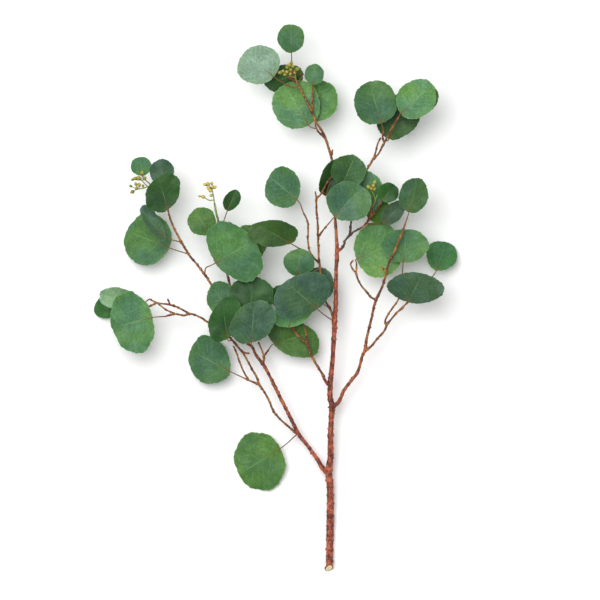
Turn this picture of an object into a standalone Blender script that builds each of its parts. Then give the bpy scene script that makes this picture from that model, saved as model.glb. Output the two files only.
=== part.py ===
"""Eucalyptus branch: a cut stem that lies on a surface, with round leaves and flower buds.

The stem grows along +Y and the cut end is at -Y. The surface is z = 0 and +Z is up.
Outlines are pixels of the photo, other lengths are millimetres and the mesh is metres.
"""

import math
from dataclasses import dataclass

import bmesh
import bpy
import numpy as np
from mathutils import Vector
from mathutils.bvhtree import BVHTree

COLLECTION_NAME = "eucalyptus_branch"
CUTTER_NAME = "cutters"

MM = 0.001

# Scale and place of the photo on the surface
PIXEL = 1.2
PHOTO_MIDDLE = (275.3, 298.9)

# Stem
TRUNK_SIDES_STEP = 2
TWIG_SIDES_STEP = 1
STALK_SIDES_STEP = 0
THICK_RADIUS = 2.2
CUT_POINT = (329.2, 570.8, 3.6)
CUT_SLANT_DEG = 32.0
CUTTER_SIZE = 1200.0

# Leaves
LEAF_THICKNESS = 0.7
BIG_LEAF_WIDTH = 30.0
BIG_LEAF_SIDES = 18
SMALL_LEAF_SIDES = 14
BLADE_RINGS = (0.0, 0.6, 1.0)
EDGE_RIPPLE = 0.022
STEADY_BASE_POWER = 6
FLOOR_LEVEL = 0.36
PETIOLE_FOOT_RADIUS = 0.85
PETIOLE_RADIUS = 0.75
MIDRIB_END_RADIUS = 0.42
PETIOLE_CURVE_STEPS = 3
MIDRIB_STATIONS = (0.15, 0.42)
FOOT_GAP = 0.3
FOOT_STEP = 0.05
FOOT_MAX_STEPS = 160
RIM_SAMPLES = 8

# How far the blades differ from one another: least and greatest value of each shape number
SHAPE_SEED = 100
CUP_RANGE = (-1.5, 3.0)
FOLD_RANGE = (0.02, 0.09)
RIPPLE_RANGE = (0.5, 1.1)
RIPPLE_FULL_WIDTH = 45.0
WAVES_RANGE = (4, 7)
EGG_RANGE = (-0.04, 0.10)
BEND_RANGE = (-2.5, 2.5)

# Buds
BUD_SIDES = 6
STALK_RADIUS = 0.75
STALK_TIP_RADIUS = 0.6
BUD_PROFILE = ((-1.0, 0.0), (-0.42, 0.86), (0.42, 0.92), (1.35, 0.0))
BUD_STALK_INSET = 0.55

WELD = 0.00001
SMOOTH_ANGLE_DEG = 40.0
LARGEST_SLIVER = 1.0e-9

# Colours, as display values from 0 to 1
BARK_COLOUR = (0.52, 0.28, 0.20)
BUD_COLOUR = (0.62, 0.62, 0.28)
LEAF_COLOURS = {
    "pale": (0.55, 0.66, 0.55),
    "light": (0.38, 0.55, 0.37),
    "mid": (0.30, 0.45, 0.28),
    "blue": (0.28, 0.42, 0.33),
    "grey": (0.27, 0.38, 0.31),
    "dark": (0.25, 0.37, 0.24),
    "deep": (0.17, 0.31, 0.14),
    "yellow": (0.33, 0.46, 0.20),
}
BARK_ROUGHNESS = 0.8
LEAF_ROUGHNESS = 0.6
BUD_ROUGHNESS = 0.5


@dataclass(frozen=True)
class Leaf:
    """One leaf as it is read off the photo, with its heights over the surface.

    outline holds the left, right, top and bottom pixel of the blade. lean is 0 for an upright or lying oval
    and near 1 for one that leans. stalk is the pixel where the stalk enters. heights are those of the stalk
    end and the far end. foot is a pixel and height near the twig that carries the leaf.
    """

    number: int
    tone: str
    outline: tuple
    lean: float
    stalk: tuple
    heights: tuple
    foot: tuple
    via: tuple = ()
    roll: float = 0.0
    fold: float = None
    ripple: float = None
    waves: int = None


@dataclass(frozen=True)
class Blade:
    """The shape of one blade in millimetres: ends, width, slant of its oval and how it is bent."""

    base: tuple
    tip: tuple
    width: float
    skew: float
    roll: float
    cup: float
    fold: float
    bend: float
    wave: float
    waves: int
    phase: float
    egg: float


# Each stem: its name and its points (x pixel, y pixel, height, radius), from its parent to its end.
STEMS = [
    ("trunk", [
        (329.3, 573, 3.6, 4.2), (329.6, 560, 3.6, 4.2), (330, 538, 3.6, 4.2), (330.4, 500.5, 7, 4),
        (329.8, 482, 9.5, 4.1), (328.9, 473, 10.5, 4.3), (330.4, 460, 12, 3.5), (330.6, 440, 14.2, 3.3),
        (331.2, 420, 16.5, 3.2), (332.2, 407, 18, 3.5), (330.2, 397, 19.3, 3), (330.4, 384, 21, 3),
        (332.4, 362.5, 24, 2.7), (333.4, 347, 26, 2.6), (334.4, 329, 28.5, 2.6), (334.6, 320.4, 29.5, 3),
        (335.6, 307, 31, 2.4), (335.9, 303, 31.5, 2.9), (335.9, 298.5, 32, 2.35), (335.9, 287, 33.2, 2.2),
        (335.9, 282.5, 33.7, 2.7), (336, 278, 34.1, 2.15), (336.3, 266.8, 35.3, 2.1),
        (337, 253.4, 36.8, 2.3), (336.3, 235.4, 38, 1.8), (335.5, 223, 38.8, 1.7), (333.5, 190, 40.5, 1.5),
        (331.7, 159, 42.3, 1.5), (328.5, 148, 43.4, 1.4), (325.1, 137.6, 44.6, 1.5),
        (322, 131.4, 45.4, 1.25), (314.9, 120.2, 47, 1.2), (311.8, 112, 48.2, 1.35),
        (306.7, 101.8, 49.6, 1.15), (300.6, 90.6, 51.2, 1.15), (297, 83.8, 52.2, 1.05),
    ]),
    ("spur top", [
        (331.4, 155.5, 42.6, 1.1), (332.6, 149.8, 43.5, 0.9),
    ]),
    ("leaf five twig", [
        (324.9, 138.4, 44.6, 1.05), (318, 131.4, 45.6, 1), (315.3, 126, 46, 0.95),
    ]),
    ("leaf six twig", [
        (311.8, 111.5, 48.2, 1), (312.4, 98, 50.2, 0.95), (312.6, 90, 51.6, 0.9),
    ]),
    ("bud twig", [
        (297.6, 84.6, 52.1, 0.95), (292.2, 80, 53, 0.9), (287.8, 77, 53.8, 0.85),
    ]),
    ("left limb", [
        (328.9, 473, 10.5, 2.85), (324.1, 469.9, 10.8, 2.75), (317.6, 460.1, 12, 2.25),
        (306.7, 444.9, 14.4, 2.1), (299.1, 435.2, 16, 2.45), (293, 423.2, 17.6, 2.05),
        (286.5, 410.2, 19.4, 2), (281.1, 399.4, 20.8, 2), (274.6, 386.4, 22.6, 1.95),
        (268.8, 374.5, 24.2, 1.75), (263.4, 364.7, 25.6, 2), (255.8, 354.9, 27.4, 1.6),
        (251.4, 346.3, 28.8, 1.6), (248.2, 344.1, 29.4, 1.65), (240, 318, 34, 1.45), (229, 281, 39, 1.3),
        (222, 250, 42, 1.25), (218.6, 222.1, 44.5, 1.25), (216.8, 215.1, 45.2, 1.15),
        (214.6, 203.5, 46.4, 1.1),
    ]),
    ("thin twig", [
        (299.1, 435.2, 16, 1.45), (293.7, 431.4, 17, 1.3), (289.4, 427.6, 17.8, 1.25),
        (279.6, 418.9, 19.8, 1.2), (274.2, 412.4, 21, 1.2), (268.8, 400.5, 22.8, 1.2),
        (263.4, 390.7, 24.4, 1.2), (259.6, 385.3, 25.3, 1.4), (256.9, 377.7, 26.4, 1.15),
        (252.5, 370.1, 27.4, 1.15), (248.4, 362.5, 28.4, 1.1), (242.8, 352.8, 29.8, 1.25),
        (236.3, 345.2, 31, 1.1), (230.8, 338.7, 32, 1.1), (222, 332, 33.2, 1.1), (208.6, 322.8, 35, 1.1),
        (200.5, 317.4, 36, 1.1), (189.8, 314, 37, 1.25), (184.5, 315.4, 37.4, 1.05),
        (175.8, 314.1, 38, 1.1), (165.5, 316.4, 38.8, 0.95),
    ]),
    ("thin twig spur", [
        (242.8, 352.8, 29.8, 1), (249.3, 353.3, 30.2, 0.9),
    ]),
    ("small left twig", [
        (259.6, 385.3, 25.3, 1.15), (252.5, 382, 25.6, 1.05), (248.7, 380.4, 25.8, 1.15),
        (244, 378.2, 26, 1),
    ]),
    ("small left twig up", [
        (248.4, 380, 25.8, 1), (243.9, 372.3, 27.4, 0.95), (240.6, 364.7, 28.8, 0.95),
        (236.3, 352.8, 30.6, 0.9), (233.4, 346, 31.6, 0.9),
    ]),
    ("far left twig", [
        (189.8, 314, 37, 1.05), (183.1, 310, 37.8, 1), (169.7, 304.7, 39.2, 1.1), (157, 302.7, 40.4, 1),
        (149.4, 299, 41.4, 0.9),
    ]),
    ("far left spur", [
        (170.2, 305, 39.2, 0.9), (167.9, 299, 39.6, 0.85),
    ]),
    ("far left link", [
        (175.8, 314.1, 38, 0.9), (165.7, 309.4, 39.4, 0.85), (157.7, 303.3, 40.4, 0.85),
    ]),
    ("far left hidden", [
        (157, 302.7, 40.4, 0.9), (146, 307.5, 30, 0.85), (132, 309.8, 18, 0.85), (122.5, 310, 12, 0.85),
    ]),
    ("upper left twig", [
        (242.5, 326, 32.6, 1.3), (222, 300, 37, 1.25), (211.9, 285.3, 39.6, 1.2),
        (205.2, 275.2, 41.4, 1.45), (196.5, 263.8, 43.4, 1.15), (189.8, 255.8, 44.8, 1.4),
        (182.5, 243.7, 46.6, 1.35), (173.7, 227, 48.6, 1.1), (171.1, 221, 49.4, 1.15),
    ]),
    ("upper left a", [
        (171.1, 221, 49.4, 0.95), (167.7, 208.9, 50.6, 0.9), (162, 198, 51.8, 0.85),
        (152, 188.6, 53.4, 0.85),
    ]),
    ("left middle limb", [
        (330.2, 385, 21, 2), (328.4, 384.2, 21.2, 1.9), (321.9, 373.4, 23.2, 1.4),
        (312.2, 357.1, 26.4, 1.35), (308.9, 349.5, 28, 1.4), (307.3, 343.6, 29.2, 1.6),
        (300.2, 338.2, 30.6, 1.1), (295.7, 332.9, 32, 1.1), (290.8, 326.6, 33.8, 1),
    ]),
    ("left middle right", [
        (307.3, 343.6, 29.2, 1.1), (306.4, 336.4, 30.6, 1.05), (304.8, 327, 32.6, 0.95),
    ]),
    ("twig a", [
        (334.5, 320.4, 29.5, 1.4), (333, 317, 30.2, 1.4), (330.5, 309.6, 32, 1.25),
        (325.6, 301.6, 34.2, 1.15), (321.5, 288, 37.4, 1.1), (320.3, 271.3, 40.8, 1.15),
        (319.4, 263.2, 42.2, 1.4), (318.9, 259.4, 42.8, 1.1), (318.5, 247.8, 44.2, 1.1),
        (318, 237.8, 45.4, 1.25), (317.6, 222.9, 46.8, 1.1), (316.4, 206.3, 48.2, 1.1),
        (316.8, 198.9, 48.8, 1.2), (320.5, 194.7, 49.2, 1), (323.8, 188.9, 49.6, 1.05),
        (329.2, 179.8, 50.2, 0.95), (334, 175.6, 51, 0.9),
    ]),
    ("twig a left", [
        (319.4, 263.2, 42.2, 1.1), (315.4, 259.6, 43, 1), (310.2, 252.6, 44.2, 1.2),
        (308.1, 242.8, 45.4, 1), (308.1, 229.6, 46.8, 1), (307.7, 222.9, 47.4, 1.05),
        (306.4, 218.8, 47.8, 1), (303.4, 213, 48.6, 0.95),
    ]),
    ("twig a leaf", [
        (310.2, 252.6, 44.2, 0.95), (304.6, 251.6, 47, 1), (299.4, 248.6, 50.4, 0.95),
    ]),
    ("twig a right", [
        (318, 237.8, 45.4, 1), (323, 230.4, 47.6, 0.95), (328.4, 224, 50.6, 0.9),
    ]),
    ("twig a spur", [
        (316.6, 199.6, 48.8, 0.95), (315.2, 191.8, 49.4, 0.85),
    ]),
    ("twig b", [
        (337, 252.4, 36.8, 1.4), (339.6, 250.3, 37.4, 1.35), (342.9, 247, 38.2, 1.2),
        (345.4, 240.3, 39.4, 1.15), (348.7, 236.2, 40.2, 1.35), (350.8, 223.7, 41.6, 1.1),
        (353.4, 205, 43.4, 1.1), (357, 188, 45.6, 1.1), (366.8, 170, 49, 1.1), (372.9, 159.5, 50.8, 1.35),
        (376, 150.3, 52.4, 1.05), (377.5, 144.2, 53.4, 1.05), (380.4, 138, 54.6, 0.95),
    ]),
    ("twig b right", [
        (348.7, 236.2, 40.2, 1.15), (354.3, 231.4, 41.2, 1.1), (360, 228.6, 42.8, 1.05),
        (365.9, 223.6, 45, 1.1), (370.4, 217.1, 48.5, 1.3), (371.3, 210, 53.5, 1), (372.8, 206, 56, 0.95),
    ]),
    ("twig b dark", [
        (370.4, 217.1, 48.5, 1.05), (375.7, 210.9, 51, 1), (381.4, 202.4, 53.5, 0.9),
    ]),
    ("top right twig", [
        (372.9, 159.5, 50.8, 1.1), (378.3, 154.1, 52, 1.05), (381.3, 148.8, 53, 1.05),
        (384, 143.4, 54.2, 1.2), (385.9, 139.6, 55, 1), (389, 133.5, 56.6, 1), (393.6, 125, 59, 0.95),
        (398.1, 118.1, 61.2, 0.9),
    ]),
    ("top right middle", [
        (384, 143.4, 54.2, 1), (382.5, 137.3, 56, 0.95), (383.2, 131.2, 58.4, 0.9),
    ]),
    ("right limb", [
        (332.2, 407, 18, 2.5), (336.9, 404, 18.4, 2.4), (344.6, 389.6, 20.8, 1.85),
        (350.3, 381.9, 22.2, 1.8), (357.5, 372.4, 24.2, 1.85), (360.4, 363.8, 26, 1.7),
        (362.3, 356.1, 27.8, 1.7), (364.4, 351.5, 29, 1.95), (366.6, 338.9, 32, 1.55),
        (369, 328.4, 34.6, 1.55), (371.8, 316.9, 37.4, 1.45), (374.2, 305.4, 40.2, 1.45),
        (376.1, 299.8, 41.6, 1.7), (381.9, 287.2, 44.8, 1.3), (384.7, 278.6, 47, 1.3),
        (386.4, 270.7, 48.8, 1.4), (390, 260, 51, 1.2), (393.6, 252.9, 52.4, 1.2), (398, 242.1, 54, 1.15),
        (403.4, 228.8, 56, 1.1), (405.4, 222.6, 56.8, 0.95),
    ]),
    ("right limb spur", [
        (386.2, 272, 48.6, 1), (381, 267, 49.6, 0.85),
    ]),
    ("left twig", [
        (376.1, 299.8, 41.6, 1.25), (371.3, 297.5, 41.8, 1.1), (366.8, 292.1, 42.2, 1.05),
        (361.4, 285.9, 42.6, 1.05), (357, 277, 43, 1.05), (356, 273.4, 43.2, 1.2),
        (352.5, 268.9, 43.4, 0.95), (350.7, 263.6, 43.6, 0.9), (353, 260.2, 44, 0.85),
    ]),
    ("left twig right", [
        (356, 273.4, 43.2, 0.95), (356.6, 267.1, 42, 0.9), (356.6, 263.6, 41.2, 0.85),
    ]),
    ("right twig", [
        (364.4, 351.5, 29, 1.55), (371.4, 346.1, 30, 1.3), (378, 337.9, 31.4, 1.25),
        (384.7, 330.3, 32.8, 1.2), (386.7, 325.5, 33.6, 1.4), (392.4, 317.8, 35, 1.1),
        (396.2, 313.1, 35.8, 1.1), (401, 309.2, 36.8, 1.25), (404.8, 304.9, 38.2, 0.95),
    ]),
    ("right twig left", [
        (386.7, 325.5, 33.6, 1.1), (385.2, 321.7, 34, 1.1), (386.7, 316.9, 34.4, 1.05),
        (392.4, 308.3, 35.6, 1), (397.7, 300.6, 36.8, 0.95), (402, 279, 41, 0.9),
    ]),
    ("right twig far", [
        (401, 309.2, 36.8, 1.05), (412, 297, 33, 0.95), (424, 284.5, 28, 0.9),
    ]),
    ("stub twig", [
        (263.4, 364.7, 25.6, 1.1), (263.6, 356.5, 27.5, 1), (258.4, 342, 31, 0.85),
    ]),
    ("leaf 39 twig", [
        (263.6, 356.5, 27.5, 1), (268.5, 349.8, 26.5, 0.9),
    ]),
]

LEAVES = [
    Leaf(1, "mid", (277.5, 304.5, 25, 53.5), 0, (291.5, 53.5), (57, 61), (297, 84, 52),
         via=((292, 72.5, 49.5),)),
    Leaf(2, "pale", (237.5, 280, 46, 85), -0.12, (273.5, 77), (56, 60), (299.5, 88.5, 51.5),
         via=((288.5, 86.5, 50.5),)),
    Leaf(3, "deep", (264, 303.5, 64.5, 92.5), -0.19, (303, 73.5), (41, 32), (297, 84, 52),
         via=((301, 78.5, 47),)),
    Leaf(4, "mid", (272.5, 320.5, 81, 129.5), 0, (309, 126), (42, 41), (316, 129.5, 44.5)),
    Leaf(5, "mid", (298, 338, 79.5, 121.5), -0.01, (315.5, 121.5), (38, 31), (315.5, 124.5, 45)),
    Leaf(6, "blue", (304.5, 324, 64.5, 85), -0.01, (312.5, 85), (54, 57), (312.5, 88.5, 52)),
    Leaf(7, "mid", (353.5, 396.5, 81, 125), 0, (381.5, 124), (60, 64), (383, 129.5, 59)),
    Leaf(8, "light", (396, 436, 79.5, 119.5), -0.15, (402, 112.5), (64, 68), (399, 117, 62)),
    Leaf(9, "mid", (401.5, 438, 82, 116.5), -0.13, (404, 110), (57, 59), (396, 121.5, 60)),
    Leaf(10, "dark", (376, 420.5, 94, 140), -0.2, (389, 139), (48, 44), (385.5, 141.5, 52)),
    Leaf(11, "deep", (319, 343, 159, 196), -0.45, (326.5, 194), (45.5, 45), (322.5, 190.5, 49)),
    Leaf(12, "mid", (331, 366, 155, 187), 0, (342, 186), (55, 59), (335, 177, 53), fold=0.42),
    Leaf(14, "light", (326, 371, 182, 222), 0.05, (333, 218.5), (63.5, 66.5), (329.5, 222.5, 52)),
    Leaf(15, "blue", (341, 383, 169.5, 216), 0, (367.5, 214.5), (46, 50), (368, 220.5, 46.5)),
    Leaf(16, "deep", (377.5, 398.5, 183, 203), 0, (382.5, 200), (56, 59), (382, 201.5, 54)),
    Leaf(17, "yellow", (366, 391, 200, 222.5), -0.1, (369.5, 219), (39, 40), (366.5, 223.5, 44)),
    Leaf(18, "grey", (381, 405.5, 200.5, 225), -0.45, (384, 221.5), (45, 51), (366, 224, 45),
         via=((374, 224, 41), (381, 223.5, 42),)),
    Leaf(19, "blue", (398.5, 428, 178, 213), -0.1, (408.5, 213), (58, 64), (406, 221, 57)),
    Leaf(20, "light", (354, 402, 221.5, 278), 0.05, (357.5, 258.5), (37, 34.5), (356.5, 263.5, 41),
         ripple=1.3),
    Leaf(21, "light", (381, 428.5, 229, 263), 0, (403, 263), (46, 49), (402, 277, 41.5)),
    Leaf(22, "light", (426, 457.5, 241, 271), 0, (437, 269.5), (18, 0), (425.5, 283, 27)),
    Leaf(23, "grey", (387, 443.5, 272.5, 303), 0.08, (408.5, 302), (42, 58), (405.5, 304, 39), ripple=0.9),
    Leaf(24, "mid", (265.5, 301, 167.5, 209), 0, (296.5, 199.5), (50, 44), (302.5, 211, 49)),
    Leaf(25, "dark", (248.5, 298.5, 220, 247), 0.03, (290.5, 243.5), (60, 67), (297.5, 247.5, 52), roll=8),
    Leaf(26, "light", (207, 263, 221.5, 281.5), 0.4, (217.5, 262), (54, 55), (207, 273, 42.5),
         via=((206.5, 267.5, 47.5),), ripple=1.5, fold=0.05),
    Leaf(27, "deep", (231.5, 266.5, 225, 262), 0, (236, 254), (42, 41), (226, 268, 40.5)),
    Leaf(28, "deep", (223, 241, 190, 211), -0.34, (227.5, 211), (50, 52), (220.5, 235, 43.5)),
    Leaf(29, "mid", (188, 216.5, 207.5, 236), 0, (209, 231.5), (46, 48), (221, 241, 43)),
    Leaf(30, "mid", (207, 235, 281, 316), 0.05, (230, 310), (42, 44), (234, 313, 37)),
    Leaf(31, "deep", (229, 273.5, 276, 319), 0, (250, 319), (43.5, 45.5), (241.5, 317, 37)),
    Leaf(32, "deep", (208.5, 241, 296.5, 342), -0.35, (227.5, 338.5), (45, 51), (232, 340.5, 32),
         fold=0.30),
    Leaf(33, "blue", (230, 276, 300.5, 343.5), -0.28, (251.5, 342), (50, 56), (252, 347.5, 28.5)),
    Leaf(34, "mid", (189, 231, 336.5, 385.5), 0.15, (228, 370.5), (19.5, -1.5), (242.5, 377, 26)),
    Leaf(35, "grey", (273, 330, 272, 318.5), -0.33, (316, 308), (54, 58), (333.5, 322, 29), ripple=1.0),
    Leaf(36, "mid", (283.5, 314.5, 249, 276), 0, (298.5, 276), (49.5, 53.5), (320, 268, 41.5)),
    Leaf(37, "deep", (299, 334.5, 267, 302), 0, (322, 301), (27.5, 26.5), (330.5, 309, 30)),
    Leaf(38, "light", (273, 313.5, 297, 327.5), -0.33, (290, 323.5), (38, 42), (291, 325.5, 34.5)),
    Leaf(39, "mid", (267.5, 320, 318, 358), 0.35, (277, 343), (23, 19), (268.5, 350, 26.5)),
    Leaf(40, "deep", (270, 294, 285.5, 311.5), 0.22, (290, 310), (36, 38), (294.5, 330.5, 32.5)),
    Leaf(41, "mid", (131, 152, 157, 176), 0, (143, 176), (46, 48), (158, 194, 52.5),
         via=((150, 184, 46.5),)),
    Leaf(42, "grey", (150, 174.5, 159.5, 186), 0, (165, 185.5), (52, 54), (167, 206, 50)),
    Leaf(43, "dark", (146, 181, 174, 213), -0.28, (168, 210), (54, 61), (170.5, 218, 49.5),
         via=((170, 216, 53),)),
    Leaf(44, "mid", (124, 171.5, 213, 265.5), -0.08, (168.5, 247.5), (29.5, -1.5), (188, 254.5, 44.5)),
    Leaf(45, "grey", (140.5, 166, 206.5, 241), 0.7, (165, 235.5), (47, 48), (181, 243, 47),
         fold=0.15, roll=-35),
    Leaf(46, "light", (110.5, 154.5, 291.5, 353.5), 0.2, (153, 317.5), (45, 38), (164, 317, 39),
         ripple=1.9, waves=7),
    Leaf(47, "pale", (99, 141, 287.5, 311), 0.25, (139.5, 303.5), (38, 21), (148.5, 299, 41), fold=0.35),
    Leaf(48, "deep", (93.5, 117, 297, 319), 0, (115.5, 311), (6.5, -0.5), (121, 310, 11.5)),
    Leaf(49, "mid", (234, 285, 432.5, 491.5), 0.12, (278.5, 450), (9.5, -0.5), (298, 433.5, 16)),
]

# Each bud cluster: its name, its stalks (x pixel, y pixel, height) and its buds (x, y, height, radius).
BUD_CLUSTERS = [
    ("buds_crown",
     [[(297, 83.8, 52.2), (295.9, 79.4, 54), (295.2, 76, 55), (294.6, 70.5, 56.5)],
      [(295.7, 78.3, 54.4), (289.8, 76, 55.2), (289.4, 72.5, 56.2)]],
     [(291.4, 64, 58.5, 1.9), (289.4, 66, 59.5, 2.1), (293, 67.2, 58, 2.1), (287.4, 68.4, 58, 2.2),
      (290.8, 70.8, 61, 2), (296.8, 69.9, 57.5, 2.5), (294.6, 73.2, 57.5, 1.9), (283.3, 71.9, 59.6, 1.9),
      (280.6, 73.2, 60.6, 2.4), (287, 72.6, 60, 2), (285.4, 75, 57.2, 2.1), (290.4, 74.4, 58.6, 1.9)]),
    ("buds_left",
     [[(152, 188.6, 53.4), (147.8, 186.4, 54.5), (142, 180.5, 55.2)],
      [(148.6, 186.7, 54.3), (144.5, 188.2, 54.2), (137.5, 189.5, 54.4)]],
     [(142.6, 173.6, 55.5, 2.3), (144.9, 178.8, 57, 2.3), (139.3, 178.4, 57.5, 2.5),
      (135.9, 178.8, 56, 2), (132.9, 180, 55, 1.6), (136.2, 184.4, 56.4, 1.9), (139.6, 185.2, 57.6, 2.3),
      (131.2, 186.4, 55, 1.7), (137.2, 188.6, 57, 2.2), (133, 192, 54.6, 2.3), (143.4, 186.2, 56.4, 1.6)]),
    ("buds_middle_left",
     [[(214.6, 203.5, 46.4), (214.1, 199.5, 47.1), (213.6, 196, 47.6), (212.2, 189.5, 48.6)],
      [(214.2, 200.2, 47), (209, 200.3, 47.4), (204.2, 197.4, 48)]],
     [(205.2, 184.8, 50.5, 2), (208.4, 184.2, 51.5, 2.3), (208.8, 188.6, 50.5, 2.2),
      (212, 183.6, 50, 1.9), (210.6, 190.8, 51.6, 2.4), (214.8, 187.6, 50, 2.2), (212.8, 187, 52.4, 2),
      (211.4, 195.6, 49.6, 2), (203.4, 197, 48.8, 2.4), (199.6, 196.4, 48.4, 1.5)]),
    ("buds_middle_right",
     [[(372.8, 206, 56), (375, 201, 57.5), (374, 196.5, 59), (371.4, 191.4, 61)],
      [(374.8, 200.2, 57.8), (377.2, 195.2, 59)]],
     [(374.2, 183, 62, 2), (373, 186.2, 63.4, 2.1), (368.4, 187.6, 62.5, 2.3), (373.6, 189.8, 61.6, 2.3),
      (371, 189, 64, 1.7)]),
]


def place(point):
    """Turn a pixel and a height into millimetres on the surface."""
    x, y, height = point
    return np.array(((x - PHOTO_MIDDLE[0]) * PIXEL, (PHOTO_MIDDLE[1] - y) * PIXEL, height))


def stem_lines():
    """Return the centre line of every stem as an array of points in millimetres."""
    return [np.array([place(row[:3]) for row in rows]) for _, rows in STEMS]


def nearest_on_lines(lines, spot):
    """Return the point of some centre lines that is nearest to a spot."""
    best = None
    for line in lines:
        for first, second in zip(line[:-1], line[1:]):
            run = second - first
            part = np.clip(np.dot(spot - first, run) / np.dot(run, run), 0.0, 1.0)
            point = first + run * part
            distance = np.linalg.norm(spot - point)
            if best is None or distance < best[0]:
                best = (distance, point)
    return best[1]


def blade_of(leaf):
    """Work out the blade's ends, width and bends from the oval that fits its outline.

    The oval touches the four sides of the outline and leans as stated. The diameter through the point where
    the stalk enters is the blade's length, and the one conjugate to it gives the width and the skew.
    """
    left, right, top, bottom = leaf.outline
    middle = place(((left + right) / 2, (top + bottom) / 2, 0.0))[:2]
    half_x = (right - left) / 2 * PIXEL
    half_y = (bottom - top) / 2 * PIXEL
    spread = -leaf.lean * half_x * half_y
    values, turns = np.linalg.eigh(np.array(((half_x ** 2, spread), (spread, half_y ** 2))))
    oval = turns @ np.diag(np.sqrt(values)) @ turns.T
    stalk = place((*leaf.stalk, 0.0))[:2] - middle
    unit = np.linalg.solve(oval, stalk)
    unit = unit / np.linalg.norm(unit)
    reach = oval @ unit
    conjugate = oval @ np.array((-unit[1], unit[0]))
    along = -reach / np.linalg.norm(reach)
    side = np.array((along[1], -along[0]))
    half_width = np.dot(conjugate, side)
    chance = np.random.default_rng(SHAPE_SEED + leaf.number)
    cup = chance.uniform(*CUP_RANGE)
    fold = chance.uniform(*FOLD_RANGE)
    width = 2 * abs(half_width) / math.cos(math.radians(leaf.roll))
    wave = chance.uniform(*RIPPLE_RANGE) * min(1.0, width / RIPPLE_FULL_WIDTH)
    waves = int(chance.integers(*WAVES_RANGE))
    phase = chance.uniform(0.0, 2 * math.pi)
    egg = chance.uniform(*EGG_RANGE)
    bend = chance.uniform(*BEND_RANGE)
    return Blade(
        base=(*(middle + reach), leaf.heights[0]),
        tip=(*(middle - reach), leaf.heights[1]),
        width=width,
        skew=np.dot(conjugate, along) / half_width,
        roll=leaf.roll,
        cup=cup,
        fold=fold if leaf.fold is None else leaf.fold,
        bend=bend,
        wave=wave if leaf.ripple is None else leaf.ripple,
        waves=waves if leaf.waves is None else leaf.waves,
        phase=phase,
        egg=egg,
    )


def blade_frame(blade):
    """Return the blade's base, length and its directions along, across and up, as arrays in millimetres."""
    base = np.array(blade.base)
    along = np.array(blade.tip) - base
    length = np.linalg.norm(along)
    along = along / length
    side = np.cross(along, (0.0, 0.0, 1.0))
    side = side / np.linalg.norm(side)
    up = np.cross(side, along)
    roll = math.radians(blade.roll)
    turned_side = side * math.cos(roll) + up * math.sin(roll)
    turned_up = up * math.cos(roll) - side * math.sin(roll)
    return base, length, along, turned_side, turned_up


def blade_surface(blade, ring, angle):
    """Return points of the blade's middle surface.

    ring is 0 at the middle of the blade and 1 on its edge. angle is 0 towards the tip and pi at the base.
    """
    base, length, along, side, up = blade_frame(blade)
    half = blade.width / 2
    edge = 1 + EDGE_RIPPLE * np.cos(blade.waves * angle + blade.phase) * ring ** 2
    across = half * ring * edge * np.sin(angle) * (1 + blade.egg * np.cos(angle))
    reach = length / 2 * (1 + ring * edge * np.cos(angle)) + blade.skew * across
    part = reach / length
    steady_base = 1 - ((1 - np.cos(angle)) / 2) ** STEADY_BASE_POWER
    height = blade.cup * (across / half) ** 2
    height = height + blade.fold * np.abs(across)
    height = height + blade.bend * 4 * part * (1 - part)
    height = height + blade.wave * ring ** 3 * np.sin(blade.waves * angle + blade.phase) * steady_base
    spots = base + np.outer(reach, along) + np.outer(across, side) + np.outer(height, up)
    spots[:, 2] = np.maximum(spots[:, 2], FLOOR_LEVEL)
    return spots


def midrib_point(blade, part):
    """Return a point of the blade's middle line, with part 0 at the base and 1 at the tip."""
    ring = np.array([abs(2 * part - 1)])
    angle = np.array([0.0 if part > 0.5 else math.pi])
    return blade_surface(blade, ring, angle)[0]


def clear_scene():
    """Remove every object of the start scene."""
    for thing in list(bpy.data.objects):
        bpy.data.objects.remove(thing, do_unlink=True)


def make_collection(name):
    """Return a new collection linked to the scene."""
    collection = bpy.data.collections.new(name)
    bpy.context.scene.collection.children.link(collection)
    return collection


def linear(value):
    """Turn a display colour value into a linear one."""
    if value <= 0.04045:
        return value / 12.92
    return ((value + 0.055) / 1.055) ** 2.4


def make_material(name, colour, roughness):
    """Return a plain Principled material."""
    material = bpy.data.materials.new(name)
    material.use_nodes = True
    shader = material.node_tree.nodes["Principled BSDF"]
    shader.inputs["Base Color"].default_value = (*[linear(part) for part in colour], 1.0)
    shader.inputs["Roughness"].default_value = roughness
    return material


def object_from_mesh(name, mesh, collection):
    """Wrap a mesh in an object of the collection."""
    thing = bpy.data.objects.new(name, mesh)
    collection.objects.link(thing)
    return thing


def evaluated_mesh(thing):
    """Return a new mesh with the object's curve or modifiers made real."""
    bpy.context.view_layer.update()
    graph = bpy.context.evaluated_depsgraph_get()
    return bpy.data.meshes.new_from_object(thing.evaluated_get(graph), depsgraph=graph)


def apply_modifiers(thing):
    """Replace an object's mesh by its evaluated one."""
    mesh = evaluated_mesh(thing)
    thing.modifiers.clear()
    thing.data = mesh
    return thing


def weld(mesh):
    """Join the cap vertices of a tube and turn all faces outwards."""
    work = bmesh.new()
    work.from_mesh(mesh)
    bmesh.ops.remove_doubles(work, verts=work.verts, dist=WELD)
    bmesh.ops.recalc_face_normals(work, faces=work.faces)
    work.to_mesh(mesh)
    work.free()


def finish(thing, material):
    """Give a part its material and shade its round sides smooth."""
    thing.data.materials.clear()
    thing.data.materials.append(material)
    thing.data.shade_smooth()
    thing.data.set_sharp_from_angle(angle=math.radians(SMOOTH_ANGLE_DEG))


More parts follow.
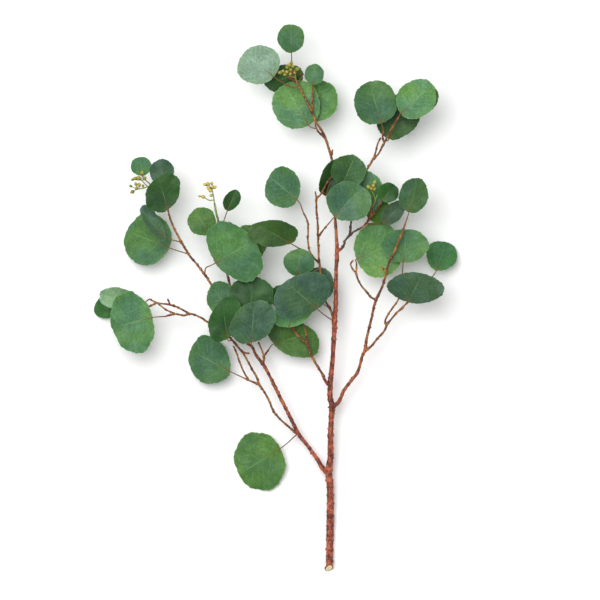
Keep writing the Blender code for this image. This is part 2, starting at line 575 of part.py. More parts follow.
def make_tube(name, points, radii, side_step, collection):
    """Make a capped tube along points in millimetres, as a bevelled curve turned into a mesh."""
    curve = bpy.data.curves.new(name, "CURVE")
    curve.dimensions = "3D"
    curve.bevel_depth = MM
    curve.bevel_resolution = side_step
    curve.use_fill_caps = True
    spline = curve.splines.new("POLY")
    spline.points.add(len(points) - 1)
    for spot, point, radius in zip(spline.points, points, radii):
        spot.co = (point[0] * MM, point[1] * MM, point[2] * MM, 1.0)
        spot.radius = radius
    holder = bpy.data.objects.new(name + " curve", curve)
    collection.objects.link(holder)
    mesh = evaluated_mesh(holder)
    bpy.data.objects.remove(holder, do_unlink=True)
    weld(mesh)
    return object_from_mesh(name, mesh, collection)


def turned_mesh(name, profile, steps):
    """Return the mesh that a profile (distance from the axis, height) makes when it is turned about Z."""
    line = bpy.data.meshes.new(name + " profile")
    corners = [(reach, 0.0, level) for reach, level in profile]
    line.from_pydata(corners, [(index, index + 1) for index in range(len(corners) - 1)], [])
    holder = object_from_mesh(name + " profile", line, bpy.context.scene.collection)
    screw = holder.modifiers.new("turn", "SCREW")
    screw.steps = steps
    screw.render_steps = steps
    screw.use_merge_vertices = True
    screw.merge_threshold = WELD
    mesh = evaluated_mesh(holder)
    bpy.data.objects.remove(holder, do_unlink=True)
    return mesh


def shells_of(work):
    """Return the closed shells of a bmesh, each as its volume in cubic metres and its faces."""
    waiting = set(work.faces)
    shells = []
    while waiting:
        island = [waiting.pop()]
        for face in island:
            for edge in face.edges:
                for other in edge.link_faces:
                    if other in waiting:
                        waiting.remove(other)
                        island.append(other)
        volume = 0.0
        for face in island:
            corners = [vertex.co for vertex in face.verts]
            for second, third in zip(corners[1:-1], corners[2:]):
                volume += corners[0].dot(second.cross(third)) / 6
        shells.append((volume, island))
    return shells


def keep_outer_shell(name, mesh):
    """Delete the shells of sealed cavities and slivers, so that one body is left, and split its faces."""
    work = bmesh.new()
    work.from_mesh(mesh)
    shells = sorted(shells_of(work), key=lambda shell: -shell[0])
    if len(shells) > 1 and shells[1][0] > LARGEST_SLIVER:
        raise ValueError(f"{name} is in more than one piece")
    inner = [face for _, island in shells[1:] for face in island]
    if inner:
        bmesh.ops.delete(work, geom=inner, context="FACES")
    bmesh.ops.triangulate(work, faces=work.faces, quad_method="SHORT_EDGE", ngon_method="BEAUTY")
    work.to_mesh(mesh)
    work.free()


def join_all(thing, collection, solver="EXACT"):
    """Unite an object with every object of a collection, then remove those."""
    union = thing.modifiers.new("union", "BOOLEAN")
    union.operation = "UNION"
    union.operand_type = "COLLECTION"
    union.collection = collection
    union.solver = solver
    apply_modifiers(thing)
    keep_outer_shell(thing.name, thing.data)
    for part in list(collection.objects):
        bpy.data.objects.remove(part, do_unlink=True)


def make_box(name, centre, size, tilt, collection):
    """Make a cube cutter in millimetres, turned about the X axis."""
    work = bmesh.new()
    bmesh.ops.create_cube(work, size=1.0)
    turn = np.array([
        [1.0, 0.0, 0.0],
        [0.0, math.cos(tilt), -math.sin(tilt)],
        [0.0, math.sin(tilt), math.cos(tilt)],
    ])
    for vertex in work.verts:
        spot = turn @ (np.array(vertex.co) * size) + np.array(centre)
        vertex.co = spot * MM
    mesh = bpy.data.meshes.new(name)
    work.to_mesh(mesh)
    work.free()
    box = object_from_mesh(name, mesh, collection)
    box.hide_render = True
    box.display_type = "WIRE"
    return box


def cut_away(thing, cutter):
    """Take a cutter's volume off an object."""
    cut = thing.modifiers.new("cut", "BOOLEAN")
    cut.operation = "DIFFERENCE"
    cut.object = cutter
    cut.solver = "EXACT"
    apply_modifiers(thing)


def build_stem(parts, scratch, cutters):
    """Build the trunk, limbs, twigs and spurs as one piece, with its slanted cut end and its flat sole."""
    tubes = []
    for name, rows in STEMS:
        points = [place(row[:3]) for row in rows]
        radii = [row[3] for row in rows]
        step = TRUNK_SIDES_STEP if max(radii) > THICK_RADIUS else TWIG_SIDES_STEP
        tubes.append(make_tube(name, points, radii, step, scratch))
    stem = tubes[0]
    scratch.objects.unlink(stem)
    parts.objects.link(stem)
    join_all(stem, scratch, "MANIFOLD")
    half = CUTTER_SIZE / 2
    slant = math.radians(CUT_SLANT_DEG)
    end = place(CUT_POINT)
    centre = (end[0], end[1] - half * math.cos(slant), end[2] + half * math.sin(slant))
    end_cutter = make_box("end cutter", centre, CUTTER_SIZE, -slant, cutters)
    cut_away(stem, end_cutter)
    floor = (0.0, 0.0, -half)
    sole_cutter = make_box("sole cutter", floor, CUTTER_SIZE, 0.0, cutters)
    cut_away(stem, sole_cutter)
    stem.name = "stem"
    finish(stem, make_material("bark", BARK_COLOUR, BARK_ROUGHNESS))
    return stem


def make_blade(name, blade, collection):
    """Turn a flat disc, move it onto the blade's formula and thicken it."""
    sides = BIG_LEAF_SIDES if blade.width > BIG_LEAF_WIDTH else SMALL_LEAF_SIDES
    mesh = turned_mesh(name, [(ring, 0.0) for ring in BLADE_RINGS], sides)
    work = bmesh.new()
    work.from_mesh(mesh)
    flat = np.array([vertex.co for vertex in work.verts])
    ring = np.hypot(flat[:, 0], flat[:, 1])
    angle = np.arctan2(flat[:, 1], flat[:, 0])
    spots = blade_surface(blade, ring, angle) * MM
    for vertex, spot in zip(work.verts, spots):
        vertex.co = spot
    bmesh.ops.recalc_face_normals(work, faces=work.faces)
    bmesh.ops.triangulate(work, faces=work.faces, quad_method="SHORT_EDGE")
    work.to_mesh(mesh)
    work.free()
    thing = object_from_mesh(name, mesh, collection)
    skin = thing.modifiers.new("thickness", "SOLIDIFY")
    skin.thickness = LEAF_THICKNESS * MM
    skin.offset = 0.0
    apply_modifiers(thing)
    weld(thing.data)
    return thing


def stand_off(path, tree):
    """Move the foot of a path out of the twig until its round cap stands a small gap from the bark."""
    start = path[0]
    heading = path[1] - start
    heading = heading / np.linalg.norm(heading)
    helper = np.array((0.0, 0.0, 1.0)) if abs(heading[2]) < 0.9 else np.array((1.0, 0.0, 0.0))
    first = np.cross(heading, helper)
    first = first / np.linalg.norm(first)
    second = np.cross(heading, first)
    turns = np.linspace(0.0, 2 * math.pi, RIM_SAMPLES, endpoint=False)
    rim = PETIOLE_FOOT_RADIUS * (np.outer(np.cos(turns), first) + np.outer(np.sin(turns), second))
    for count in range(FOOT_MAX_STEPS):
        foot = start + heading * FOOT_STEP * count
        clearance = FOOT_GAP
        for spot in np.vstack([rim + foot, foot]):
            near, normal, _, distance = tree.find_nearest(Vector(spot * MM))
            inside = (Vector(spot * MM) - near).dot(normal) < 0
            clearance = min(clearance, -1.0 if inside else distance / MM)
        if clearance >= FOOT_GAP:
            break
    return foot


def petiole_path(leaf, blade, lines, tree):
    """Return the points of the leaf's stalk, from its foot at the twig to its base."""
    base = midrib_point(blade, 0.0)
    along = blade_frame(blade)[2]
    start = nearest_on_lines(lines, place(leaf.foot))
    knots = [start] + [place(point) for point in leaf.via] + [base]
    last = knots[-2]
    reach = np.linalg.norm(base - last)
    curve = []
    for step in range(1, PETIOLE_CURVE_STEPS):
        part = step / PETIOLE_CURVE_STEPS
        straight = last + (base - last) * part
        bow = part ** 2 * (1 - part) * reach
        curve.append(straight - bow * (along - (base - last) / reach))
    points = knots[:-1] + curve + [base]
    points[0] = stand_off(points, tree)
    return points


def build_leaf(leaf, parts, scratch, lines, tree, materials):
    """Build one leaf: a waved blade with its petiole, which runs into the blade as a midrib."""
    name = f"leaf_{leaf.number:02d}"
    blade = blade_of(leaf)
    thing = make_blade(name, blade, parts)
    stalk = petiole_path(leaf, blade, lines, tree)
    rib = [midrib_point(blade, part) for part in MIDRIB_STATIONS]
    points = stalk + rib
    radii = [PETIOLE_FOOT_RADIUS] + [PETIOLE_RADIUS] * (len(stalk) - 1)
    radii += list(np.linspace(PETIOLE_RADIUS, MIDRIB_END_RADIUS, len(rib) + 1)[1:])
    make_tube(name + " petiole", points, radii, STALK_SIDES_STEP, scratch)
    join_all(thing, scratch)
    finish(thing, materials[leaf.tone])
    return thing


def make_bud(name, centre, radius, heading, collection):
    """Make one pointed bud as a turned shape along its stalk's direction."""
    heading = heading / np.linalg.norm(heading)
    helper = np.array((0.0, 0.0, 1.0)) if abs(heading[2]) < 0.9 else np.array((1.0, 0.0, 0.0))
    first = np.cross(heading, helper)
    first = first / np.linalg.norm(first)
    second = np.cross(heading, first)
    mesh = turned_mesh(name, [(reach, level) for level, reach in BUD_PROFILE], BUD_SIDES)
    for vertex in mesh.vertices:
        spot = np.array(vertex.co) * radius
        vertex.co = (centre + first * spot[0] + second * spot[1] + heading * spot[2]) * MM
    weld(mesh)
    return object_from_mesh(name, mesh, collection)


def build_buds(name, stalks, buds, parts, scratch, tree, material):
    """Build one bud cluster: green stalks, and a short stalk and a pointed bud at each of its places."""
    stalk_lines = [np.array([place(point) for point in stalk]) for stalk in stalks]
    pieces = []
    for number, line in enumerate(stalk_lines):
        points = list(line)
        if number == 0:
            points[0] = stand_off(points, tree)
        radii = list(np.linspace(PETIOLE_FOOT_RADIUS, STALK_RADIUS, len(points)))
        pieces.append(make_tube(f"{name} stalk {number}", points, radii, TWIG_SIDES_STEP, scratch))
    for number, (*spot, radius) in enumerate(buds):
        centre = place(spot)
        foot = nearest_on_lines(stalk_lines, centre)
        heading = centre - foot
        end = centre - heading / np.linalg.norm(heading) * radius * BUD_STALK_INSET
        ends = [STALK_TIP_RADIUS, STALK_TIP_RADIUS]
        make_tube(f"{name} pedicel {number}", [foot, end], ends, STALK_SIDES_STEP, scratch)
        make_bud(f"{name} bud {number}", centre, radius, heading, scratch)
    cluster = pieces[0]
    scratch.objects.unlink(cluster)
    parts.objects.link(cluster)
    join_all(cluster, scratch)
    cluster.name = name
    finish(cluster, material)
    return cluster


def main():
    """Build the branch."""
    clear_scene()
    parts = make_collection(COLLECTION_NAME)
    scratch = make_collection("scratch")
    cutters = make_collection(CUTTER_NAME)
    cutters.hide_render = True
    stem = build_stem(parts, scratch, cutters)
    shape = bmesh.new()
    shape.from_mesh(stem.data)
    tree = BVHTree.FromBMesh(shape)
    shape.free()
    materials = {
        tone: make_material("leaf " + tone, colour, LEAF_ROUGHNESS) for tone, colour in LEAF_COLOURS.items()
    }
    bud_material = make_material("buds", BUD_COLOUR, BUD_ROUGHNESS)
    lines = stem_lines()
    for leaf in LEAVES:
        build_leaf(leaf, parts, scratch, lines, tree, materials)
    for name, stalks, buds in BUD_CLUSTERS:
        build_buds(name, stalks, buds, parts, scratch, tree, bud_material)
    bpy.data.collections.remove(scratch)


main()
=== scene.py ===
"""Looks of the eucalyptus branch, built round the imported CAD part.

The branch lies on the floor, z is up and +Y runs from the cut end to the crown. Every mesh is in metres.
The tables repeat the design rows of the part's source: pixels for places seen from above, millimetres for
heights and radii.
"""

import logging
import math
from dataclasses import dataclass, field
from enum import Enum
from typing import Callable, Iterable, Optional

import bmesh
import bpy
import numpy as np
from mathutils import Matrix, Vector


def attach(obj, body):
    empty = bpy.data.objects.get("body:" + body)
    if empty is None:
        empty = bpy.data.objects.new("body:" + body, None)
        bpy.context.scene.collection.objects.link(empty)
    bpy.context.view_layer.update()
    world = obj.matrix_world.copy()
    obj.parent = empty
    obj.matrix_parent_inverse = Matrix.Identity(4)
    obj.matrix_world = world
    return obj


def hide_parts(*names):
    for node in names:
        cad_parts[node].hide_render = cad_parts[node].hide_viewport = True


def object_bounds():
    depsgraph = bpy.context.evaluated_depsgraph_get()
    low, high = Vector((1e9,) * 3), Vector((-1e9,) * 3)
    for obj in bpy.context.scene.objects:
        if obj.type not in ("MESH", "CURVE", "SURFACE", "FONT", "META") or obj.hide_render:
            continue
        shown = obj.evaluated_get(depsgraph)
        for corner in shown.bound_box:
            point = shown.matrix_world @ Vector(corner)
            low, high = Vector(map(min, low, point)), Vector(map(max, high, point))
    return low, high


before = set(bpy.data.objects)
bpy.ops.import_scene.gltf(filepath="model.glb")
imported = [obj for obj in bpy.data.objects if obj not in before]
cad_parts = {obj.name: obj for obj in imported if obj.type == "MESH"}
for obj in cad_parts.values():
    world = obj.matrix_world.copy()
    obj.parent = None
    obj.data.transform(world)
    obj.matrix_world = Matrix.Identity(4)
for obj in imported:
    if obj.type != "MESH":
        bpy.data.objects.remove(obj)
CAD_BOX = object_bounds()

LOG = logging.getLogger("eucalyptus_branch")
ROOT = "root"
MM = 0.001

# Scale and place of the photo on the surface
PIXEL = 1.2
PHOTO_MIDDLE = (275.3, 298.9)
PHOTO_SIDE = 600

Array = np.ndarray


class Tone(Enum):
    """The leaf colours that the branch shows. DARK and DEEP are partly the leaves' own darker green and partly
    painted shade, the colour of leaves that lie in the shade of others.
    """

    PALE = "pale"
    LIGHT = "light"
    MID = "mid"
    BLUE = "blue"
    GREY = "grey"
    DARK = "dark"
    DEEP = "deep"
    YELLOW = "yellow"


@dataclass(frozen=True)
class Leaf:
    """One leaf as it is read off the photo, with its heights over the surface.

    outline holds the left, right, top and bottom pixel of the blade. lean is 0 for an upright or lying oval and
    near 1 for one that leans. stalk is the pixel where the stalk enters. heights are those of the stalk end and
    the far end. foot is a pixel and height near the twig that carries the leaf.
    """

    number: int
    tone: str
    outline: tuple
    lean: float
    stalk: tuple
    heights: tuple
    foot: tuple
    via: tuple = ()
    roll: float = 0.0
    fold: Optional[float] = None
    ripple: Optional[float] = None
    waves: Optional[int] = None


# Each stem: its name and its points (x pixel, y pixel, height, radius), from its parent to its end.
STEMS = [
    ("trunk", [
        (329.3, 573, 3.6, 4.2), (329.6, 560, 3.6, 4.2), (330, 538, 3.6, 4.2), (330.4, 500.5, 7, 4),
        (329.8, 482, 9.5, 4.1), (328.9, 473, 10.5, 4.3), (330.4, 460, 12, 3.5), (330.6, 440, 14.2, 3.3),
        (331.2, 420, 16.5, 3.2), (332.2, 407, 18, 3.5), (330.2, 397, 19.3, 3), (330.4, 384, 21, 3),
        (332.4, 362.5, 24, 2.7), (333.4, 347, 26, 2.6), (334.4, 329, 28.5, 2.6), (334.6, 320.4, 29.5, 3),
        (335.6, 307, 31, 2.4), (335.9, 303, 31.5, 2.9), (335.9, 298.5, 32, 2.35), (335.9, 287, 33.2, 2.2),
        (335.9, 282.5, 33.7, 2.7), (336, 278, 34.1, 2.15), (336.3, 266.8, 35.3, 2.1),
        (337, 253.4, 36.8, 2.3), (336.3, 235.4, 38, 1.8), (335.5, 223, 38.8, 1.7), (333.5, 190, 40.5, 1.5),
        (331.7, 159, 42.3, 1.5), (328.5, 148, 43.4, 1.4), (325.1, 137.6, 44.6, 1.5),
        (322, 131.4, 45.4, 1.25), (314.9, 120.2, 47, 1.2), (311.8, 112, 48.2, 1.35),
        (306.7, 101.8, 49.6, 1.15), (300.6, 90.6, 51.2, 1.15), (297, 83.8, 52.2, 1.05),
    ]),
    ("spur top", [
        (331.4, 155.5, 42.6, 1.1), (332.6, 149.8, 43.5, 0.9),
    ]),
    ("leaf five twig", [
        (324.9, 138.4, 44.6, 1.05), (318, 131.4, 45.6, 1), (315.3, 126, 46, 0.95),
    ]),
    ("leaf six twig", [
        (311.8, 111.5, 48.2, 1), (312.4, 98, 50.2, 0.95), (312.6, 90, 51.6, 0.9),
    ]),
    ("bud twig", [
        (297.6, 84.6, 52.1, 0.95), (292.2, 80, 53, 0.9), (287.8, 77, 53.8, 0.85),
    ]),
    ("left limb", [
        (328.9, 473, 10.5, 2.85), (324.1, 469.9, 10.8, 2.75), (317.6, 460.1, 12, 2.25),
        (306.7, 444.9, 14.4, 2.1), (299.1, 435.2, 16, 2.45), (293, 423.2, 17.6, 2.05),
        (286.5, 410.2, 19.4, 2), (281.1, 399.4, 20.8, 2), (274.6, 386.4, 22.6, 1.95),
        (268.8, 374.5, 24.2, 1.75), (263.4, 364.7, 25.6, 2), (255.8, 354.9, 27.4, 1.6),
        (251.4, 346.3, 28.8, 1.6), (248.2, 344.1, 29.4, 1.65), (240, 318, 34, 1.45), (229, 281, 39, 1.3),
        (222, 250, 42, 1.25), (218.6, 222.1, 44.5, 1.25), (216.8, 215.1, 45.2, 1.15),
        (214.6, 203.5, 46.4, 1.1),
    ]),
    ("thin twig", [
        (299.1, 435.2, 16, 1.45), (293.7, 431.4, 17, 1.3), (289.4, 427.6, 17.8, 1.25),
        (279.6, 418.9, 19.8, 1.2), (274.2, 412.4, 21, 1.2), (268.8, 400.5, 22.8, 1.2),
        (263.4, 390.7, 24.4, 1.2), (259.6, 385.3, 25.3, 1.4), (256.9, 377.7, 26.4, 1.15),
        (252.5, 370.1, 27.4, 1.15), (248.4, 362.5, 28.4, 1.1), (242.8, 352.8, 29.8, 1.25),
        (236.3, 345.2, 31, 1.1), (230.8, 338.7, 32, 1.1), (222, 332, 33.2, 1.1), (208.6, 322.8, 35, 1.1),
        (200.5, 317.4, 36, 1.1), (189.8, 314, 37, 1.25), (184.5, 315.4, 37.4, 1.05),
        (175.8, 314.1, 38, 1.1), (165.5, 316.4, 38.8, 0.95),
    ]),
    ("thin twig spur", [
        (242.8, 352.8, 29.8, 1), (249.3, 353.3, 30.2, 0.9),
    ]),
    ("small left twig", [
        (259.6, 385.3, 25.3, 1.15), (252.5, 382, 25.6, 1.05), (248.7, 380.4, 25.8, 1.15),
        (244, 378.2, 26, 1),
    ]),
    ("small left twig up", [
        (248.4, 380, 25.8, 1), (243.9, 372.3, 27.4, 0.95), (240.6, 364.7, 28.8, 0.95),
        (236.3, 352.8, 30.6, 0.9), (233.4, 346, 31.6, 0.9),
    ]),
    ("far left twig", [
        (189.8, 314, 37, 1.05), (183.1, 310, 37.8, 1), (169.7, 304.7, 39.2, 1.1), (157, 302.7, 40.4, 1),
        (149.4, 299, 41.4, 0.9),
    ]),
    ("far left spur", [
        (170.2, 305, 39.2, 0.9), (167.9, 299, 39.6, 0.85),
    ]),
    ("far left link", [
        (175.8, 314.1, 38, 0.9), (165.7, 309.4, 39.4, 0.85), (157.7, 303.3, 40.4, 0.85),
    ]),
    ("far left hidden", [
        (157, 302.7, 40.4, 0.9), (146, 307.5, 30, 0.85), (132, 309.8, 18, 0.85), (122.5, 310, 12, 0.85),
    ]),
    ("upper left twig", [
        (242.5, 326, 32.6, 1.3), (222, 300, 37, 1.25), (211.9, 285.3, 39.6, 1.2),
        (205.2, 275.2, 41.4, 1.45), (196.5, 263.8, 43.4, 1.15), (189.8, 255.8, 44.8, 1.4),
        (182.5, 243.7, 46.6, 1.35), (173.7, 227, 48.6, 1.1), (171.1, 221, 49.4, 1.15),
    ]),
    ("upper left a", [
        (171.1, 221, 49.4, 0.95), (167.7, 208.9, 50.6, 0.9), (162, 198, 51.8, 0.85),
        (152, 188.6, 53.4, 0.85),
    ]),
    ("left middle limb", [
        (330.2, 385, 21, 2), (328.4, 384.2, 21.2, 1.9), (321.9, 373.4, 23.2, 1.4),
        (312.2, 357.1, 26.4, 1.35), (308.9, 349.5, 28, 1.4), (307.3, 343.6, 29.2, 1.6),
        (300.2, 338.2, 30.6, 1.1), (295.7, 332.9, 32, 1.1), (290.8, 326.6, 33.8, 1),
    ]),
    ("left middle right", [
        (307.3, 343.6, 29.2, 1.1), (306.4, 336.4, 30.6, 1.05), (304.8, 327, 32.6, 0.95),
    ]),
    ("twig a", [
        (334.5, 320.4, 29.5, 1.4), (333, 317, 30.2, 1.4), (330.5, 309.6, 32, 1.25),
        (325.6, 301.6, 34.2, 1.15), (321.5, 288, 37.4, 1.1), (320.3, 271.3, 40.8, 1.15),
        (319.4, 263.2, 42.2, 1.4), (318.9, 259.4, 42.8, 1.1), (318.5, 247.8, 44.2, 1.1),
        (318, 237.8, 45.4, 1.25), (317.6, 222.9, 46.8, 1.1), (316.4, 206.3, 48.2, 1.1),
        (316.8, 198.9, 48.8, 1.2), (320.5, 194.7, 49.2, 1), (323.8, 188.9, 49.6, 1.05),
        (329.2, 179.8, 50.2, 0.95), (334, 175.6, 51, 0.9),
    ]),
    ("twig a left", [
        (319.4, 263.2, 42.2, 1.1), (315.4, 259.6, 43, 1), (310.2, 252.6, 44.2, 1.2),
        (308.1, 242.8, 45.4, 1), (308.1, 229.6, 46.8, 1), (307.7, 222.9, 47.4, 1.05),
        (306.4, 218.8, 47.8, 1), (303.4, 213, 48.6, 0.95),
    ]),
    ("twig a leaf", [
        (310.2, 252.6, 44.2, 0.95), (304.6, 251.6, 47, 1), (299.4, 248.6, 50.4, 0.95),
    ]),
    ("twig a right", [
        (318, 237.8, 45.4, 1), (323, 230.4, 47.6, 0.95), (328.4, 224, 50.6, 0.9),
    ]),
    ("twig a spur", [
        (316.6, 199.6, 48.8, 0.95), (315.2, 191.8, 49.4, 0.85),
    ]),
    ("twig b", [
        (337, 252.4, 36.8, 1.4), (339.6, 250.3, 37.4, 1.35), (342.9, 247, 38.2, 1.2),
        (345.4, 240.3, 39.4, 1.15), (348.7, 236.2, 40.2, 1.35), (350.8, 223.7, 41.6, 1.1),
        (353.4, 205, 43.4, 1.1), (357, 188, 45.6, 1.1), (366.8, 170, 49, 1.1), (372.9, 159.5, 50.8, 1.35),
        (376, 150.3, 52.4, 1.05), (377.5, 144.2, 53.4, 1.05), (380.4, 138, 54.6, 0.95),
    ]),
    ("twig b right", [
        (348.7, 236.2, 40.2, 1.15), (354.3, 231.4, 41.2, 1.1), (360, 228.6, 42.8, 1.05),
        (365.9, 223.6, 45, 1.1), (370.4, 217.1, 48.5, 1.3), (371.3, 210, 53.5, 1), (372.8, 206, 56, 0.95),
    ]),
    ("twig b dark", [
        (370.4, 217.1, 48.5, 1.05), (375.7, 210.9, 51, 1), (381.4, 202.4, 53.5, 0.9),
    ]),
    ("top right twig", [
        (372.9, 159.5, 50.8, 1.1), (378.3, 154.1, 52, 1.05), (381.3, 148.8, 53, 1.05),
        (384, 143.4, 54.2, 1.2), (385.9, 139.6, 55, 1), (389, 133.5, 56.6, 1), (393.6, 125, 59, 0.95),
        (398.1, 118.1, 61.2, 0.9),
    ]),
    ("top right middle", [
        (384, 143.4, 54.2, 1), (382.5, 137.3, 56, 0.95), (383.2, 131.2, 58.4, 0.9),
    ]),
    ("right limb", [
        (332.2, 407, 18, 2.5), (336.9, 404, 18.4, 2.4), (344.6, 389.6, 20.8, 1.85),
        (350.3, 381.9, 22.2, 1.8), (357.5, 372.4, 24.2, 1.85), (360.4, 363.8, 26, 1.7),
        (362.3, 356.1, 27.8, 1.7), (364.4, 351.5, 29, 1.95), (366.6, 338.9, 32, 1.55),
        (369, 328.4, 34.6, 1.55), (371.8, 316.9, 37.4, 1.45), (374.2, 305.4, 40.2, 1.45),
        (376.1, 299.8, 41.6, 1.7), (381.9, 287.2, 44.8, 1.3), (384.7, 278.6, 47, 1.3),
        (386.4, 270.7, 48.8, 1.4), (390, 260, 51, 1.2), (393.6, 252.9, 52.4, 1.2), (398, 242.1, 54, 1.15),
        (403.4, 228.8, 56, 1.1), (405.4, 222.6, 56.8, 0.95),
    ]),
    ("right limb spur", [
        (386.2, 272, 48.6, 1), (381, 267, 49.6, 0.85),
    ]),
    ("left twig", [
        (376.1, 299.8, 41.6, 1.25), (371.3, 297.5, 41.8, 1.1), (366.8, 292.1, 42.2, 1.05),
        (361.4, 285.9, 42.6, 1.05), (357, 277, 43, 1.05), (356, 273.4, 43.2, 1.2),
        (352.5, 268.9, 43.4, 0.95), (350.7, 263.6, 43.6, 0.9), (353, 260.2, 44, 0.85),
    ]),
    ("left twig right", [
        (356, 273.4, 43.2, 0.95), (356.6, 267.1, 42, 0.9), (356.6, 263.6, 41.2, 0.85),
    ]),
    ("right twig", [
        (364.4, 351.5, 29, 1.55), (371.4, 346.1, 30, 1.3), (378, 337.9, 31.4, 1.25),
        (384.7, 330.3, 32.8, 1.2), (386.7, 325.5, 33.6, 1.4), (392.4, 317.8, 35, 1.1),
        (396.2, 313.1, 35.8, 1.1), (401, 309.2, 36.8, 1.25), (404.8, 304.9, 38.2, 0.95),
    ]),
    ("right twig left", [
        (386.7, 325.5, 33.6, 1.1), (385.2, 321.7, 34, 1.1), (386.7, 316.9, 34.4, 1.05),
        (392.4, 308.3, 35.6, 1), (397.7, 300.6, 36.8, 0.95), (402, 279, 41, 0.9),
    ]),
    ("right twig far", [
        (401, 309.2, 36.8, 1.05), (412, 297, 33, 0.95), (424, 284.5, 28, 0.9),
    ]),
    ("stub twig", [
        (263.4, 364.7, 25.6, 1.1), (263.6, 356.5, 27.5, 1), (258.4, 342, 31, 0.85),
    ]),
    ("leaf 39 twig", [
        (263.6, 356.5, 27.5, 1), (268.5, 349.8, 26.5, 0.9),
    ]),
]

